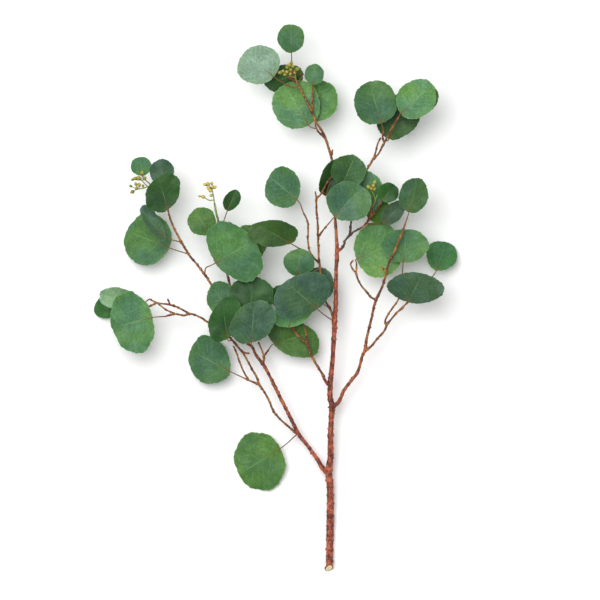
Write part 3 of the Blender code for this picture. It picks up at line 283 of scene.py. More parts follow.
# Each leaf, as the class above tells.
LEAVES = [
    Leaf(1, "mid", (277.5, 304.5, 25, 53.5), 0, (291.5, 53.5), (57, 61), (297, 84, 52),
         via=((292, 72.5, 49.5),)),
    Leaf(2, "pale", (237.5, 280, 46, 85), -0.12, (273.5, 77), (56, 60), (299.5, 88.5, 51.5),
         via=((288.5, 86.5, 50.5),)),
    Leaf(3, "deep", (264, 303.5, 64.5, 92.5), -0.19, (303, 73.5), (41, 32), (297, 84, 52),
         via=((301, 78.5, 47),)),
    Leaf(4, "mid", (272.5, 320.5, 81, 129.5), 0, (309, 126), (42, 41), (316, 129.5, 44.5)),
    Leaf(5, "mid", (298, 338, 79.5, 121.5), -0.01, (315.5, 121.5), (38, 31), (315.5, 124.5, 45)),
    Leaf(6, "blue", (304.5, 324, 64.5, 85), -0.01, (312.5, 85), (54, 57), (312.5, 88.5, 52)),
    Leaf(7, "mid", (353.5, 396.5, 81, 125), 0, (381.5, 124), (60, 64), (383, 129.5, 59)),
    Leaf(8, "light", (396, 436, 79.5, 119.5), -0.15, (402, 112.5), (64, 68), (399, 117, 62)),
    Leaf(9, "mid", (401.5, 438, 82, 116.5), -0.13, (404, 110), (57, 59), (396, 121.5, 60)),
    Leaf(10, "dark", (376, 420.5, 94, 140), -0.2, (389, 139), (48, 44), (385.5, 141.5, 52)),
    Leaf(11, "deep", (319, 343, 159, 196), -0.45, (326.5, 194), (45.5, 45), (322.5, 190.5, 49)),
    Leaf(12, "mid", (331, 366, 155, 187), 0, (342, 186), (55, 59), (335, 177, 53), fold=0.42),
    Leaf(14, "light", (326, 371, 182, 222), 0.05, (333, 218.5), (63.5, 66.5), (329.5, 222.5, 52)),
    Leaf(15, "blue", (341, 383, 169.5, 216), 0, (367.5, 214.5), (46, 50), (368, 220.5, 46.5)),
    Leaf(16, "deep", (377.5, 398.5, 183, 203), 0, (382.5, 200), (56, 59), (382, 201.5, 54)),
    Leaf(17, "yellow", (366, 391, 200, 222.5), -0.1, (369.5, 219), (39, 40), (366.5, 223.5, 44)),
    Leaf(18, "grey", (381, 405.5, 200.5, 225), -0.45, (384, 221.5), (45, 51), (366, 224, 45),
         via=((374, 224, 41), (381, 223.5, 42),)),
    Leaf(19, "blue", (398.5, 428, 178, 213), -0.1, (408.5, 213), (58, 64), (406, 221, 57)),
    Leaf(20, "light", (354, 402, 221.5, 278), 0.05, (357.5, 258.5), (37, 34.5), (356.5, 263.5, 41),
         ripple=1.3),
    Leaf(21, "light", (381, 428.5, 229, 263), 0, (403, 263), (46, 49), (402, 277, 41.5)),
    Leaf(22, "light", (426, 457.5, 241, 271), 0, (437, 269.5), (18, 0), (425.5, 283, 27)),
    Leaf(23, "grey", (387, 443.5, 272.5, 303), 0.08, (408.5, 302), (42, 58), (405.5, 304, 39), ripple=0.9),
    Leaf(24, "mid", (265.5, 301, 167.5, 209), 0, (296.5, 199.5), (50, 44), (302.5, 211, 49)),
    Leaf(25, "dark", (248.5, 298.5, 220, 247), 0.03, (290.5, 243.5), (60, 67), (297.5, 247.5, 52), roll=8),
    Leaf(26, "light", (207, 263, 221.5, 281.5), 0.4, (217.5, 262), (54, 55), (207, 273, 42.5),
         via=((206.5, 267.5, 47.5),), ripple=1.5, fold=0.05),
    Leaf(27, "deep", (231.5, 266.5, 225, 262), 0, (236, 254), (42, 41), (226, 268, 40.5)),
    Leaf(28, "deep", (223, 241, 190, 211), -0.34, (227.5, 211), (50, 52), (220.5, 235, 43.5)),
    Leaf(29, "mid", (188, 216.5, 207.5, 236), 0, (209, 231.5), (46, 48), (221, 241, 43)),
    Leaf(30, "mid", (207, 235, 281, 316), 0.05, (230, 310), (42, 44), (234, 313, 37)),
    Leaf(31, "deep", (229, 273.5, 276, 319), 0, (250, 319), (43.5, 45.5), (241.5, 317, 37)),
    Leaf(32, "deep", (208.5, 241, 296.5, 342), -0.35, (227.5, 338.5), (45, 51), (232, 340.5, 32),
         fold=0.30),
    Leaf(33, "blue", (230, 276, 300.5, 343.5), -0.28, (251.5, 342), (50, 56), (252, 347.5, 28.5)),
    Leaf(34, "mid", (189, 231, 336.5, 385.5), 0.15, (228, 370.5), (19.5, -1.5), (242.5, 377, 26)),
    Leaf(35, "grey", (273, 330, 272, 318.5), -0.33, (316, 308), (54, 58), (333.5, 322, 29), ripple=1.0),
    Leaf(36, "mid", (283.5, 314.5, 249, 276), 0, (298.5, 276), (49.5, 53.5), (320, 268, 41.5)),
    Leaf(37, "deep", (299, 334.5, 267, 302), 0, (322, 301), (27.5, 26.5), (330.5, 309, 30)),
    Leaf(38, "light", (273, 313.5, 297, 327.5), -0.33, (290, 323.5), (38, 42), (291, 325.5, 34.5)),
    Leaf(39, "mid", (267.5, 320, 318, 358), 0.35, (277, 343), (23, 19), (268.5, 350, 26.5)),
    Leaf(40, "deep", (270, 294, 285.5, 311.5), 0.22, (290, 310), (36, 38), (294.5, 330.5, 32.5)),
    Leaf(41, "mid", (131, 152, 157, 176), 0, (143, 176), (46, 48), (158, 194, 52.5),
         via=((150, 184, 46.5),)),
    Leaf(42, "grey", (150, 174.5, 159.5, 186), 0, (165, 185.5), (52, 54), (167, 206, 50)),
    Leaf(43, "dark", (146, 181, 174, 213), -0.28, (168, 210), (54, 61), (170.5, 218, 49.5),
         via=((170, 216, 53),)),
    Leaf(44, "mid", (124, 171.5, 213, 265.5), -0.08, (168.5, 247.5), (29.5, -1.5), (188, 254.5, 44.5)),
    Leaf(45, "grey", (140.5, 166, 206.5, 241), 0.7, (165, 235.5), (47, 48), (181, 243, 47),
         fold=0.15, roll=-35),
    Leaf(46, "light", (110.5, 154.5, 291.5, 353.5), 0.2, (153, 317.5), (45, 38), (164, 317, 39),
         ripple=1.9, waves=7),
    Leaf(47, "pale", (99, 141, 287.5, 311), 0.25, (139.5, 303.5), (38, 21), (148.5, 299, 41), fold=0.35),
    Leaf(48, "deep", (93.5, 117, 297, 319), 0, (115.5, 311), (6.5, -0.5), (121, 310, 11.5)),
    Leaf(49, "mid", (234, 285, 432.5, 491.5), 0.12, (278.5, 450), (9.5, -0.5), (298, 433.5, 16)),
]

# Each cluster: its stalks (x pixel, y pixel, height) and its buds (x pixel, y pixel, height, radius).
BUD_CLUSTERS = [
    ("buds_crown",
     [[(297, 83.8, 52.2), (295.9, 79.4, 54), (295.2, 76, 55), (294.6, 70.5, 56.5)],
      [(295.7, 78.3, 54.4), (289.8, 76, 55.2), (289.4, 72.5, 56.2)]],
     [(291.4, 64, 58.5, 1.9), (289.4, 66, 59.5, 2.1), (293, 67.2, 58, 2.1), (287.4, 68.4, 58, 2.2),
      (290.8, 70.8, 61, 2), (296.8, 69.9, 57.5, 2.5), (294.6, 73.2, 57.5, 1.9), (283.3, 71.9, 59.6, 1.9),
      (280.6, 73.2, 60.6, 2.4), (287, 72.6, 60, 2), (285.4, 75, 57.2, 2.1), (290.4, 74.4, 58.6, 1.9)]),
    ("buds_left",
     [[(152, 188.6, 53.4), (147.8, 186.4, 54.5), (142, 180.5, 55.2)],
      [(148.6, 186.7, 54.3), (144.5, 188.2, 54.2), (137.5, 189.5, 54.4)]],
     [(142.6, 173.6, 55.5, 2.3), (144.9, 178.8, 57, 2.3), (139.3, 178.4, 57.5, 2.5),
      (135.9, 178.8, 56, 2), (132.9, 180, 55, 1.6), (136.2, 184.4, 56.4, 1.9), (139.6, 185.2, 57.6, 2.3),
      (131.2, 186.4, 55, 1.7), (137.2, 188.6, 57, 2.2), (133, 192, 54.6, 2.3), (143.4, 186.2, 56.4, 1.6)]),
    ("buds_middle_left",
     [[(214.6, 203.5, 46.4), (214.1, 199.5, 47.1), (213.6, 196, 47.6), (212.2, 189.5, 48.6)],
      [(214.2, 200.2, 47), (209, 200.3, 47.4), (204.2, 197.4, 48)]],
     [(205.2, 184.8, 50.5, 2), (208.4, 184.2, 51.5, 2.3), (208.8, 188.6, 50.5, 2.2),
      (212, 183.6, 50, 1.9), (210.6, 190.8, 51.6, 2.4), (214.8, 187.6, 50, 2.2), (212.8, 187, 52.4, 2),
      (211.4, 195.6, 49.6, 2), (203.4, 197, 48.8, 2.4), (199.6, 196.4, 48.4, 1.5)]),
    ("buds_middle_right",
     [[(372.8, 206, 56), (375, 201, 57.5), (374, 196.5, 59), (371.4, 191.4, 61)],
      [(374.8, 200.2, 57.8), (377.2, 195.2, 59)]],
     [(374.2, 183, 62, 2), (373, 186.2, 63.4, 2.1), (368.4, 187.6, 62.5, 2.3), (373.6, 189.8, 61.6, 2.3),
      (371, 189, 64, 1.7)]),
]


def place(points: Iterable) -> Array:
    """Turn rows of pixel x, pixel y and height into millimetres on the surface.

    Args:
        points: rows of three numbers.
    Returns:
        An array with a row of x, y and z for each point.
    """
    rows = np.asarray(points, dtype=float).reshape(-1, 3)
    x = (rows[:, 0] - PHOTO_MIDDLE[0]) * PIXEL
    y = (PHOTO_MIDDLE[1] - rows[:, 1]) * PIXEL
    return np.column_stack((x, y, rows[:, 2]))


def unit(vectors: Array) -> Array:
    """Scale each vector to length one."""
    return vectors / np.maximum(np.linalg.norm(vectors, axis=-1, keepdims=True), 1e-9)


def smooth_path(points: Array, step: float) -> tuple[Array, Array]:
    """Run a cubic Hermite curve through points, with the slope at each point taken from its neighbours.

    Args:
        points: the rows the curve passes through; columns after the third are carried along straight lines.
        step: the distance between stations in millimetres.
    Returns:
        The stations as rows of all columns, and the length run to each station.
    """
    run = np.concatenate(([0.0], np.cumsum(np.linalg.norm(np.diff(points[:, :3], axis=0), axis=1))))
    count = max(4, int(run[-1] / step) + 1)
    at = np.linspace(0.0, run[-1], count)
    slope = np.gradient(points[:, :3], run, axis=0) if len(points) > 2 else np.repeat(
        (points[1:, :3] - points[:1, :3]) / run[-1], 2, axis=0
    )
    index = np.clip(np.searchsorted(run, at, side="right") - 1, 0, len(points) - 2)
    span = (run[index + 1] - run[index])[:, None]
    t = (at - run[index])[:, None] / span
    start, end = points[index, :3], points[index + 1, :3]
    spots = (
        (2 * t**3 - 3 * t**2 + 1) * start
        + (t**3 - 2 * t**2 + t) * span * slope[index]
        + (3 * t**2 - 2 * t**3) * end
        + (t**3 - t**2) * span * slope[index + 1]
    )
    rest = [np.interp(at, run, points[:, column]) for column in range(3, points.shape[1])]
    return np.column_stack([spots, *rest]), at


def nearest_on_lines(lines: Iterable[Array], spot: Array) -> Array:
    """Return the point of some centre lines that is nearest to a spot.

    Args:
        lines: the centre lines.
        spot: the spot.
    Returns:
        The point as x, y and z.
    """
    starts = np.vstack([line[:-1, :3] for line in lines])
    runs = np.vstack([np.diff(line[:, :3], axis=0) for line in lines])
    part = np.clip(np.sum((spot - starts) * runs, axis=1) / np.sum(runs**2, axis=1), 0.0, 1.0)
    near = starts + runs * part[:, None]
    return near[np.argmin(np.linalg.norm(spot - near, axis=1))]


def signed_volume(corners: Array, blocks: list[Array]) -> float:
    """Return the volume inside closed faces, below 0 where they point inwards: the sum of a . (b x c) / 6.

    Args:
        corners: rows of x, y and z.
        blocks: arrays of corner numbers, one row a face.
    Returns:
        The volume, in the corners' unit cubed.
    """
    centred = corners - corners.mean(axis=0)
    total = 0.0
    for block in blocks:
        for last in range(2, block.shape[1]):
            first, second, third = (centred[block[:, column]] for column in (0, last - 1, last))
            total += float(np.sum(first * np.cross(second, third)))
    return total / 6


# Edges sharper than this angle stay sharp, and corners closer than this many metres are one
SMOOTH_ANGLE_DEG = 55.0
WELD = 1e-7


@dataclass
class Shell:
    """A mesh in the making: corners in millimetres with three values each, and faces with a finish number."""

    corners: list = field(default_factory=list)
    faces: list = field(default_factory=list)
    finish: list = field(default_factory=list)
    marks: list = field(default_factory=list)
    # a colour factor on the whole piece; on a leaf it carries its own tone change together with painted shade
    # and painted light
    tint_and_shade: tuple = (1.0, 1.0, 1.0)
    count: int = 0

    def add(self, corners: Array, faces: list[Array], finish: Iterable[int], marks: Array) -> None:
        """Add one closed surface, turned round if its faces point inwards.

        Args:
            corners: rows of x, y and z in millimetres.
            faces: arrays of corner numbers, one row a face.
            finish: the number of the finish on each array of faces.
            marks: a row of three values for each corner, read by the materials.
        """
        turned = signed_volume(corners, faces) < 0
        for block, number in zip(faces, finish):
            block = block[:, ::-1] if turned else block
            self.faces.extend((block + self.count).tolist())
            self.finish.extend([number] * len(block))
        self.corners.append(corners)
        self.marks.append(marks)
        self.count += len(corners)

    def build(self, name: str, materials: list, slot: str, node: str) -> bpy.types.Object:
        """Make the mesh and its object, and say what it rides on and what it replaces.

        Args:
            name: the piece's name.
            materials: the materials by finish number.
            slot: not used.
            node: the CAD node that the piece stands for.
        Returns:
            The new object.
        """
        mesh = bpy.data.meshes.new(name)
        inside = np.clip(np.vstack(self.corners) * MM, CAD_BOX[0], CAD_BOX[1])
        mesh.from_pydata(inside.tolist(), [], self.faces)
        for material in materials:
            mesh.materials.append(material)
        mesh.polygons.foreach_set("material_index", np.array(self.finish, dtype=np.int32))
        order = np.zeros(len(mesh.loops), dtype=np.int32)
        mesh.loops.foreach_get("vertex_index", order)
        layer = mesh.attributes.new("mark", "FLOAT_VECTOR", "CORNER")
        layer.data.foreach_set("vector", np.vstack(self.marks).astype(np.float32)[order].ravel())
        tint_and_shade = mesh.attributes.new("tint_and_shade", "FLOAT_VECTOR", "POINT")
        tint_and_shade.data.foreach_set("vector", np.tile(np.float32(self.tint_and_shade), self.count))
        work = bmesh.new()
        work.from_mesh(mesh)
        bmesh.ops.remove_doubles(work, verts=work.verts, dist=WELD)
        work.to_mesh(mesh)
        work.free()
        mesh.shade_smooth()
        mesh.set_sharp_from_angle(angle=math.radians(SMOOTH_ANGLE_DEG))
        piece = bpy.data.objects.new(name, mesh)
        bpy.context.scene.collection.objects.link(piece)
        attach(piece, ROOT)
        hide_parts(node)
        LOG.info("%s: %d faces", name, len(mesh.polygons))
        return piece


def ring_quads(rings: int, sides: int) -> Array:
    """Return the four corner numbers of each face between rings of corners, ring after ring.

    Args:
        rings: how many rings there are.
        sides: how many corners a ring has.
    Returns:
        One row of corner numbers for each face.
    """
    ring = np.arange(rings - 1)[:, None] * sides
    side = np.arange(sides)[None, :]
    after = (side + 1) % sides
    corners = (ring + side, ring + after, ring + sides + after, ring + sides + side)
    return np.stack(corners, axis=-1).reshape(-1, 4)


def fan(first: int, sides: int, centre: int) -> Array:
    """Return the triangles between a ring that starts at a corner number and a centre corner."""
    side = np.arange(sides)
    return np.column_stack((first + side, first + (side + 1) % sides, np.full(sides, centre)))


@dataclass(frozen=True)
class Tube:
    """A round stem: a circle carried along a path, with its radius as a function of run and turn."""

    sides: int
    step: float
    tip_dome: float = 0.6

    def sweep(
        self, rows: Array, relief: Optional[Callable[[Array, Array], Array]] = None
    ) -> tuple[Array, list[Array], Array, Array]:
        """Carry a circle along the smooth path: centre + radius * (cos turn * side + sin turn * over).

        side lies level across the path and over is square to both. The two ends close on their centres.

        Args:
            rows: x, y, z and radius at each point of the path, in millimetres.
            relief: gives the factor on the radius from run and turn; 1 where it is left out.
        Returns:
            Corners, blocks of faces, the run and the turn of each corner.
        """
        path, run = smooth_path(rows, self.step)
        turn = np.linspace(0.0, 2 * math.pi, self.sides, endpoint=False)
        ahead = unit(np.gradient(path[:, :3], axis=0))
        side = unit(np.cross(ahead, (0.0, 0.0, 1.0)))
        over = np.cross(side, ahead)
        radius = path[:, 3:4] * np.ones_like(turn)
        if relief is not None:
            radius = radius * relief(run[:, None], turn[None, :])
        cosine, sine = np.cos(turn)[None, :, None], np.sin(turn)[None, :, None]
        circle = cosine * side[:, None, :] + sine * over[:, None, :]
        body = (path[:, None, :3] + radius[..., None] * circle).reshape(-1, 3)
        tip = path[-1, :3] + ahead[-1] * path[-1, 3] * self.tip_dome
        corners = np.vstack((body, path[:1, :3], tip[None, :]))
        stations = len(path)
        faces = [
            ring_quads(stations, self.sides),
            fan(0, self.sides, stations * self.sides)[:, ::-1],
            fan((stations - 1) * self.sides, self.sides, stations * self.sides + 1),
        ]
        runs = np.concatenate((np.repeat(run, self.sides), (run[0], run[-1])))
        turns = np.concatenate((np.tile(turn, stations), (0.0, 0.0)))
        return corners, faces, runs, turns


# Blades


@dataclass(frozen=True)
class BladeRule:
    """The rule for how the blades differ and how one is bent, the same as in the solids, and for its crinkle.

    edge_waves and face_waves hold a size, the waves round the blade and the share of the blade's own phase.
    """

    edge_ripple: float = 0.022
    steady_base_power: int = 6
    floor_level: float = 0.36
    shape_seed: int = 100
    cup: tuple = (-1.5, 3.0)
    fold: tuple = (0.02, 0.09)
    ripple: tuple = (0.5, 1.1)
    ripple_full_width: float = 45.0
    waves: tuple = (4, 7)
    egg: tuple = (-0.04, 0.10)
    bend: tuple = (-2.5, 2.5)
    edge_waves: tuple = ((0.7, 10, 2.3), (0.8, 17, 4.1), (0.8, 26, 7.7), (0.6, 35, 1.0))
    face_waves: tuple = (0.35, 11, 3)


RULE = BladeRule()


@dataclass(frozen=True)
class Blade:
    """The shape of one blade in millimetres: ends, width, slant of its oval and how it is bent."""

    base: tuple
    tip: tuple
    width: float
    skew: float
    roll: float
    cup: float
    fold: float
    bend: float
    wave: float
    waves: int
    phase: float
    egg: float

    @classmethod
    def of(cls, leaf: Leaf) -> "Blade":
        """Work out the blade's ends, width and bends from the oval that fits its outline.

        The oval touches the four sides of the outline and leans as stated. The diameter through the point where
        the stalk enters is the blade's length, and the one conjugate to it gives the width and the skew.

        Args:
            leaf: the leaf's row.
        Returns:
            The blade.
        """
        left, right, top, bottom = leaf.outline
        middle = place(((left + right) / 2, (top + bottom) / 2, 0.0))[0, :2]
        half_x = (right - left) / 2 * PIXEL
        half_y = (bottom - top) / 2 * PIXEL
        spread = -leaf.lean * half_x * half_y
        values, turns = np.linalg.eigh(np.array(((half_x**2, spread), (spread, half_y**2))))
        oval = turns @ np.diag(np.sqrt(values)) @ turns.T
        stalk = place((*leaf.stalk, 0.0))[0, :2] - middle
        heading = unit(np.linalg.solve(oval, stalk))
        reach = oval @ heading
        conjugate = oval @ np.array((-heading[1], heading[0]))
        along = -unit(reach)
        half_width = float(np.dot(conjugate, (along[1], -along[0])))
        chance = np.random.default_rng(RULE.shape_seed + leaf.number)
        cup = chance.uniform(*RULE.cup)
        fold = chance.uniform(*RULE.fold)
        width = 2 * abs(half_width) / math.cos(math.radians(leaf.roll))
        wave = chance.uniform(*RULE.ripple) * min(1.0, width / RULE.ripple_full_width)
        waves = int(chance.integers(*RULE.waves))
        phase = chance.uniform(0.0, 2 * math.pi)
        egg = chance.uniform(*RULE.egg)
        bend = chance.uniform(*RULE.bend)
        return cls(
            base=(*(middle + reach), leaf.heights[0]),
            tip=(*(middle - reach), leaf.heights[1]),
            width=width,
            skew=float(np.dot(conjugate, along)) / half_width,
            roll=leaf.roll,
            cup=cup,
            fold=fold if leaf.fold is None else leaf.fold,
            bend=bend,
            wave=wave if leaf.ripple is None else leaf.ripple,
            waves=waves if leaf.waves is None else leaf.waves,
            phase=phase,
            egg=egg,
        )

    def frame(self) -> tuple[Array, float, Array, Array, Array]:
        """Return the base, the length and the directions along, across and up.

        Returns:
            The base, the length and three vectors of length one.
        """
        base = np.array(self.base)
        along = np.array(self.tip) - base
        length = float(np.linalg.norm(along))
        along = along / length
        level = unit(np.cross(along, (0.0, 0.0, 1.0)))
        upright = np.cross(level, along)
        cosine, sine = math.cos(math.radians(self.roll)), math.sin(math.radians(self.roll))
        return base, length, along, level * cosine + upright * sine, upright * cosine - level * sine

    def surface(self, ring: Array, angle: Array, crinkle: float = 0.0) -> tuple[Array, Array]:
        """Return points of the middle surface: an oval disc that is cupped, folded, bent and waved at its edge.

        ring is 0 at the middle and 1 on the edge; angle is 0 towards the tip and pi at the base.

        Args:
            ring: the ring of each point.
            angle: the angle of each point.
            crinkle: the size of the small unevenness of the edge and face, 0 for the plain form.
        Returns:
            Points as rows, and rows of across (-1 to 1) and along (0 to 1).
        """
        base, length, along, side, up = self.frame()
        half = self.width / 2
        edge = 1 + RULE.edge_ripple * np.cos(self.waves * angle + self.phase) * ring**2
        uneven = sum(size * np.cos(turns * angle + lag * self.phase) for size, turns, lag in RULE.edge_waves)
        edge = edge + crinkle * ring**4 * uneven
        across = half * ring * edge * np.sin(angle) * (1 + self.egg * np.cos(angle))
        reach = length / 2 * (1 + ring * edge * np.cos(angle)) + self.skew * across
        part = reach / length
        steady = 1 - ((1 - np.cos(angle)) / 2) ** RULE.steady_base_power
        height = self.cup * (across / half) ** 2
        height = height + self.fold * np.abs(across)
        height = height + self.bend * 4 * part * (1 - part)
        height = height + self.wave * ring**3 * np.sin(self.waves * angle + self.phase) * steady
        size, turns, lag = RULE.face_waves
        height = height + crinkle * length * size * ring**2 * np.sin(turns * angle + lag * self.phase) * steady
        spots = base + np.outer(reach, along) + np.outer(across, side) + np.outer(height, up)
        spots[:, 2] = np.maximum(spots[:, 2], RULE.floor_level)
        return spots, np.column_stack((across / half, part))

    def midrib(self, parts: Array) -> Array:
        """Return points of the blade's middle line, with part 0 at the base and 1 at the tip.

        Args:
            parts: where along the line the points are.
        Returns:
            Points as rows.
        """
        ring = np.abs(2 * parts - 1)
        angle = np.where(parts > 0.5, 0.0, math.pi)
        return self.surface(ring, angle)[0]


# How one step of light, of warmth and of fresh green changes a leaf's red, green and blue, as powers of e
TINT_STEPS = ((0.10, 0.10, 0.10), (0.08, 0.01, -0.10), (-0.08, 0.0, -0.08))

# Leaves whose visible part looks like another tone, because they lie turned or in the shade
SEEN_AS = {27: Tone.MID, 37: Tone.GREY}

# Leaves that differ from their tone: steps of light, of warmth and of fresh green. The steps hold each leaf's
# own colour and also painted shade and painted light: leaves in shade such as 11 are painted darker, and leaves
# such as 37 and 38 that lie in shade under others are painted lighter.
LEAF_TINTS_AND_SHADE = {
    3: (-2, 2, 0), 4: (3, 0, -1), 5: (2, 2, 2), 6: (3, 0, 0), 7: (-1, -1, -1), 8: (2, 0, -1),
    11: (-7, 3, 4), 12: (-2, 1, 0), 14: (-2, -1, -2), 15: (4, -1, -1), 16: (1, 0, 1), 18: (0, 2, 0),
    19: (-1, 1, 1), 20: (2, 2, 0), 21: (-1, 0, 0), 22: (-1, 0, 3), 24: (0, -1, -1), 25: (0, 1, -1),
    26: (-2, 0, 2), 27: (-2, 1, 1), 28: (-3, 1, 0), 29: (0, 4, 2), 30: (1, 0, -1), 31: (-1, 0, 2),
    33: (-1, 0, 0), 34: (-1, -1, 0), 35: (0, 0, 1), 36: (0, -1, -1), 37: (4, 1, -1), 38: (6, 1, 0),
    39: (-3, 3, 3), 41: (1, -1, 0), 42: (0, -1, -1), 43: (0, -1, 1), 44: (0, -1, -1), 45: (2, 0, -1),
    47: (0, 0, 1), 48: (4, 0, 1), 49: (0, 2, 2),
}

# Added to the ring in the mark of a blade's top face
TOP_MARK = 2.0


@dataclass(frozen=True)
class LeafPiece:
    """A leaf: a thin blade with two faces, its petiole and the raised midrib that the petiole runs into."""

    leaf: Leaf
    sides: int = 108
    rings: int = 16
    thickness: float = 0.55
    crinkle: float = 0.0095
    ring_crowding: float = 0.9
    edge_thinning: float = 0.55
    edge_power: int = 10
    petiole_foot: float = 0.8
    petiole: float = 0.62
    petiole_sides: int = 8
    petiole_step: float = 1.2
    petiole_floor: float = 0.02
    rib_end: float = 0.14
    rib_taper: float = 0.8
    rib_reach: float = 0.60
    rib_stations: int = 9
    rib_rise: float = 0.35
    rib_rise_part: float = 0.08
    curve_steps: int = 3

    def add_blade(self, shell: Shell, blade: Blade) -> None:
        """Add the blade: the middle surface moved half the thickness up and down, joined round the edge.

        Args:
            shell: the mesh in the making.
            blade: the blade's shape.
        """
        steps = (np.arange(self.rings) + 1) / self.rings
        ring = np.repeat(np.concatenate((steps[:-1] ** self.ring_crowding, (1.0,))), self.sides)
        angle = np.tile(np.linspace(0.0, 2 * math.pi, self.sides, endpoint=False), self.rings)
        ring = np.concatenate((ring, (0.0,)))
        angle = np.concatenate((angle, (0.0,)))
        spots, spread = blade.surface(ring, angle, self.crinkle)
        up = blade.frame()[4]
        half = self.thickness / 2 * (1 - self.edge_thinning * ring**self.edge_power)
        top = spots + half[:, None] * up
        under = spots - half[:, None] * up
        centre = self.rings * self.sides
        layer = centre + 1
        skin = ring_quads(self.rings, self.sides)
        side = np.arange(self.sides)
        rim, rim_next = (number + centre - self.sides for number in (side, (side + 1) % self.sides))
        faces = [
            skin,
            fan(0, self.sides, centre)[:, ::-1],
            skin[:, ::-1] + layer,
            fan(0, self.sides, centre) + layer,
            np.column_stack((rim, rim_next, rim_next + layer, rim + layer)),
        ]
        marks = np.vstack((np.column_stack((spread, ring + TOP_MARK)), np.column_stack((spread, ring))))
        shell.add(np.vstack((top, under)), faces, [0] * len(faces), marks)

    def stalk_rows(self, blade: Blade, lines: list[Array]) -> Array:
        """Return x, y, z and radius along the petiole, from the twig to the base and on along the midrib.

        Args:
            blade: the blade's shape.
            lines: the centre lines of the stems.
        Returns:
            The rows of the path.
        """
        base = blade.midrib(np.array((0.0,)))[0]
        along, up = blade.frame()[2], blade.frame()[4]
        start = nearest_on_lines(lines, place(self.leaf.foot)[0])
        knots = [start, *place(self.leaf.via)] if self.leaf.via else [start]
        last = knots[-1]
        reach = np.linalg.norm(base - last)
        part = (np.arange(1, self.curve_steps) / self.curve_steps)[:, None]
        bow = part**2 * (1 - part) * reach
        curve = last + (base - last) * part - bow * (along - (base - last) / reach)
        rib_parts = np.linspace(0.0, self.rib_reach, self.rib_stations)
        rise = np.minimum(rib_parts / self.rib_rise_part, 1.0) * self.thickness * self.rib_rise
        rib = blade.midrib(rib_parts) + rise[:, None] * up
        points = np.vstack((np.array(knots), curve, rib))
        stalk_radii = np.linspace(self.petiole_foot, self.petiole, len(points) - self.rib_stations)
        taper = np.linspace(0.0, 1.0, self.rib_stations) ** self.rib_taper
        rib_radii = self.petiole + (self.rib_end - self.petiole) * taper
        return np.column_stack((points, np.concatenate((stalk_radii, rib_radii))))

    def build(self, lines: list[Array], finishes: "Finishes") -> bpy.types.Object:
        """Build the whole leaf.

        Args:
            lines: the centre lines of the stems.
            finishes: the materials.
        Returns:
            The leaf's object.
        """
        blade = Blade.of(self.leaf)
        shell = Shell()
        self.add_blade(shell, blade)
        rows = self.stalk_rows(blade, lines)
        corners, faces, run, _ = Tube(self.petiole_sides, self.petiole_step).sweep(rows)
        corners[:, 2] = np.maximum(corners[:, 2], self.petiole_floor)
        lengths = np.linalg.norm(np.diff(rows[: len(rows) - self.rib_stations + 1, :3], axis=0), axis=1)
        base_run = float(np.sum(lengths))
        on_rib = np.clip((run - base_run) / (run.max() - base_run), 0.0, 1.0)
        part = np.clip(run / base_run, 0.0, 1.0) + on_rib
        shell.add(corners, faces, [1] * len(faces), np.column_stack((part, run, run)))
        number = self.leaf.number
        # the leaf's tint, with the painted shade and painted light that its steps carry
        shell.tint_and_shade = tuple(np.exp(np.array(LEAF_TINTS_AND_SHADE.get(number, (0, 0, 0))) @ np.array(TINT_STEPS)))
        tone = Tone(self.leaf.tone)
        materials = [finishes.leaf(SEEN_AS.get(number, tone)), finishes.petiole]
        name = f"leaf_{number:02d}"
        return shell.build(name + "_blade", materials, "leaf_" + tone.value, name)


# Stems


@dataclass(frozen=True)
class BarkRelief:
    """The unevenness of one stem: long ridges, rough bark, and leaf scars and buds that stand out."""

    seed: int
    radius: float
    length: float
    ridge: float = 0.06
    rough: float = 0.05
    scar_spacing: float = 4.0
    scar_height: float = 0.60
    scar_sizes: tuple = (0.5, 1.3)
    scar_reaches: tuple = (0.7, 1.4)
    scar_focus: float = 1.6
    knot_spacing: float = 8.0
    knot_height: float = 0.50
    knot_sizes: tuple = (0.4, 1.2)
    knot_reach: float = 0.8
    least_radii: tuple = (0.8, 0.9)

    def __call__(self, run: Array, turn: Array) -> Array:
        """Return the factor on the radius: 1 + ridges + roughness + a smooth bump for each leaf scar and knot.

        The ridges and the roughness are products of sine waves along the run and round the turn.

        Args:
            run: the distance along the stem in millimetres.
            turn: the angle round it.
        Returns:
            The factor at each station and side.
        """
        chance = np.random.default_rng(self.seed)
        phase = chance.uniform(0, 2 * math.pi, 8)
        value = 1 + self.ridge * np.sin(2 * turn + run / 9.0 + phase[0]) * np.sin(run / 5.3 + phase[1])
        value = value + self.ridge * 0.7 * np.sin(3 * turn + phase[2]) * np.sin(run / 3.1 + phase[3])
        value = value + self.rough * np.sin(5 * turn + run * 1.7 + phase[4]) * np.sin(run * 1.1 + phase[5])
        value = value + self.rough * 0.8 * np.sin(run * 2.3 + phase[6]) * np.cos(turn + phase[7])
        scars = max(1, int(self.length / self.scar_spacing))
        spot = chance.uniform(0, self.length, scars)
        facing = chance.uniform(0, 2 * math.pi, scars)
        height = self.scar_height / max(self.radius, self.least_radii[0])
        size = chance.uniform(*self.scar_sizes, scars) * height
        reach = chance.uniform(*self.scar_reaches, scars)
        off = (run[..., None] - spot) / reach
        gap = 1 - np.cos(turn[..., None] - facing)
        value = value + np.sum(size * np.exp(-(off**2) - self.scar_focus * gap), axis=-1)
        knots = max(1, int(self.length / self.knot_spacing))
        middle = (np.arange(knots) + chance.uniform(0.2, 0.8, knots)) * self.length / knots
        height = self.knot_height / max(self.radius, self.least_radii[1])
        swell = chance.uniform(*self.knot_sizes, knots) * height
        off = (run[..., None] - middle) / self.knot_reach
        return value + np.sum(swell * np.exp(-(off**2)), axis=-1)


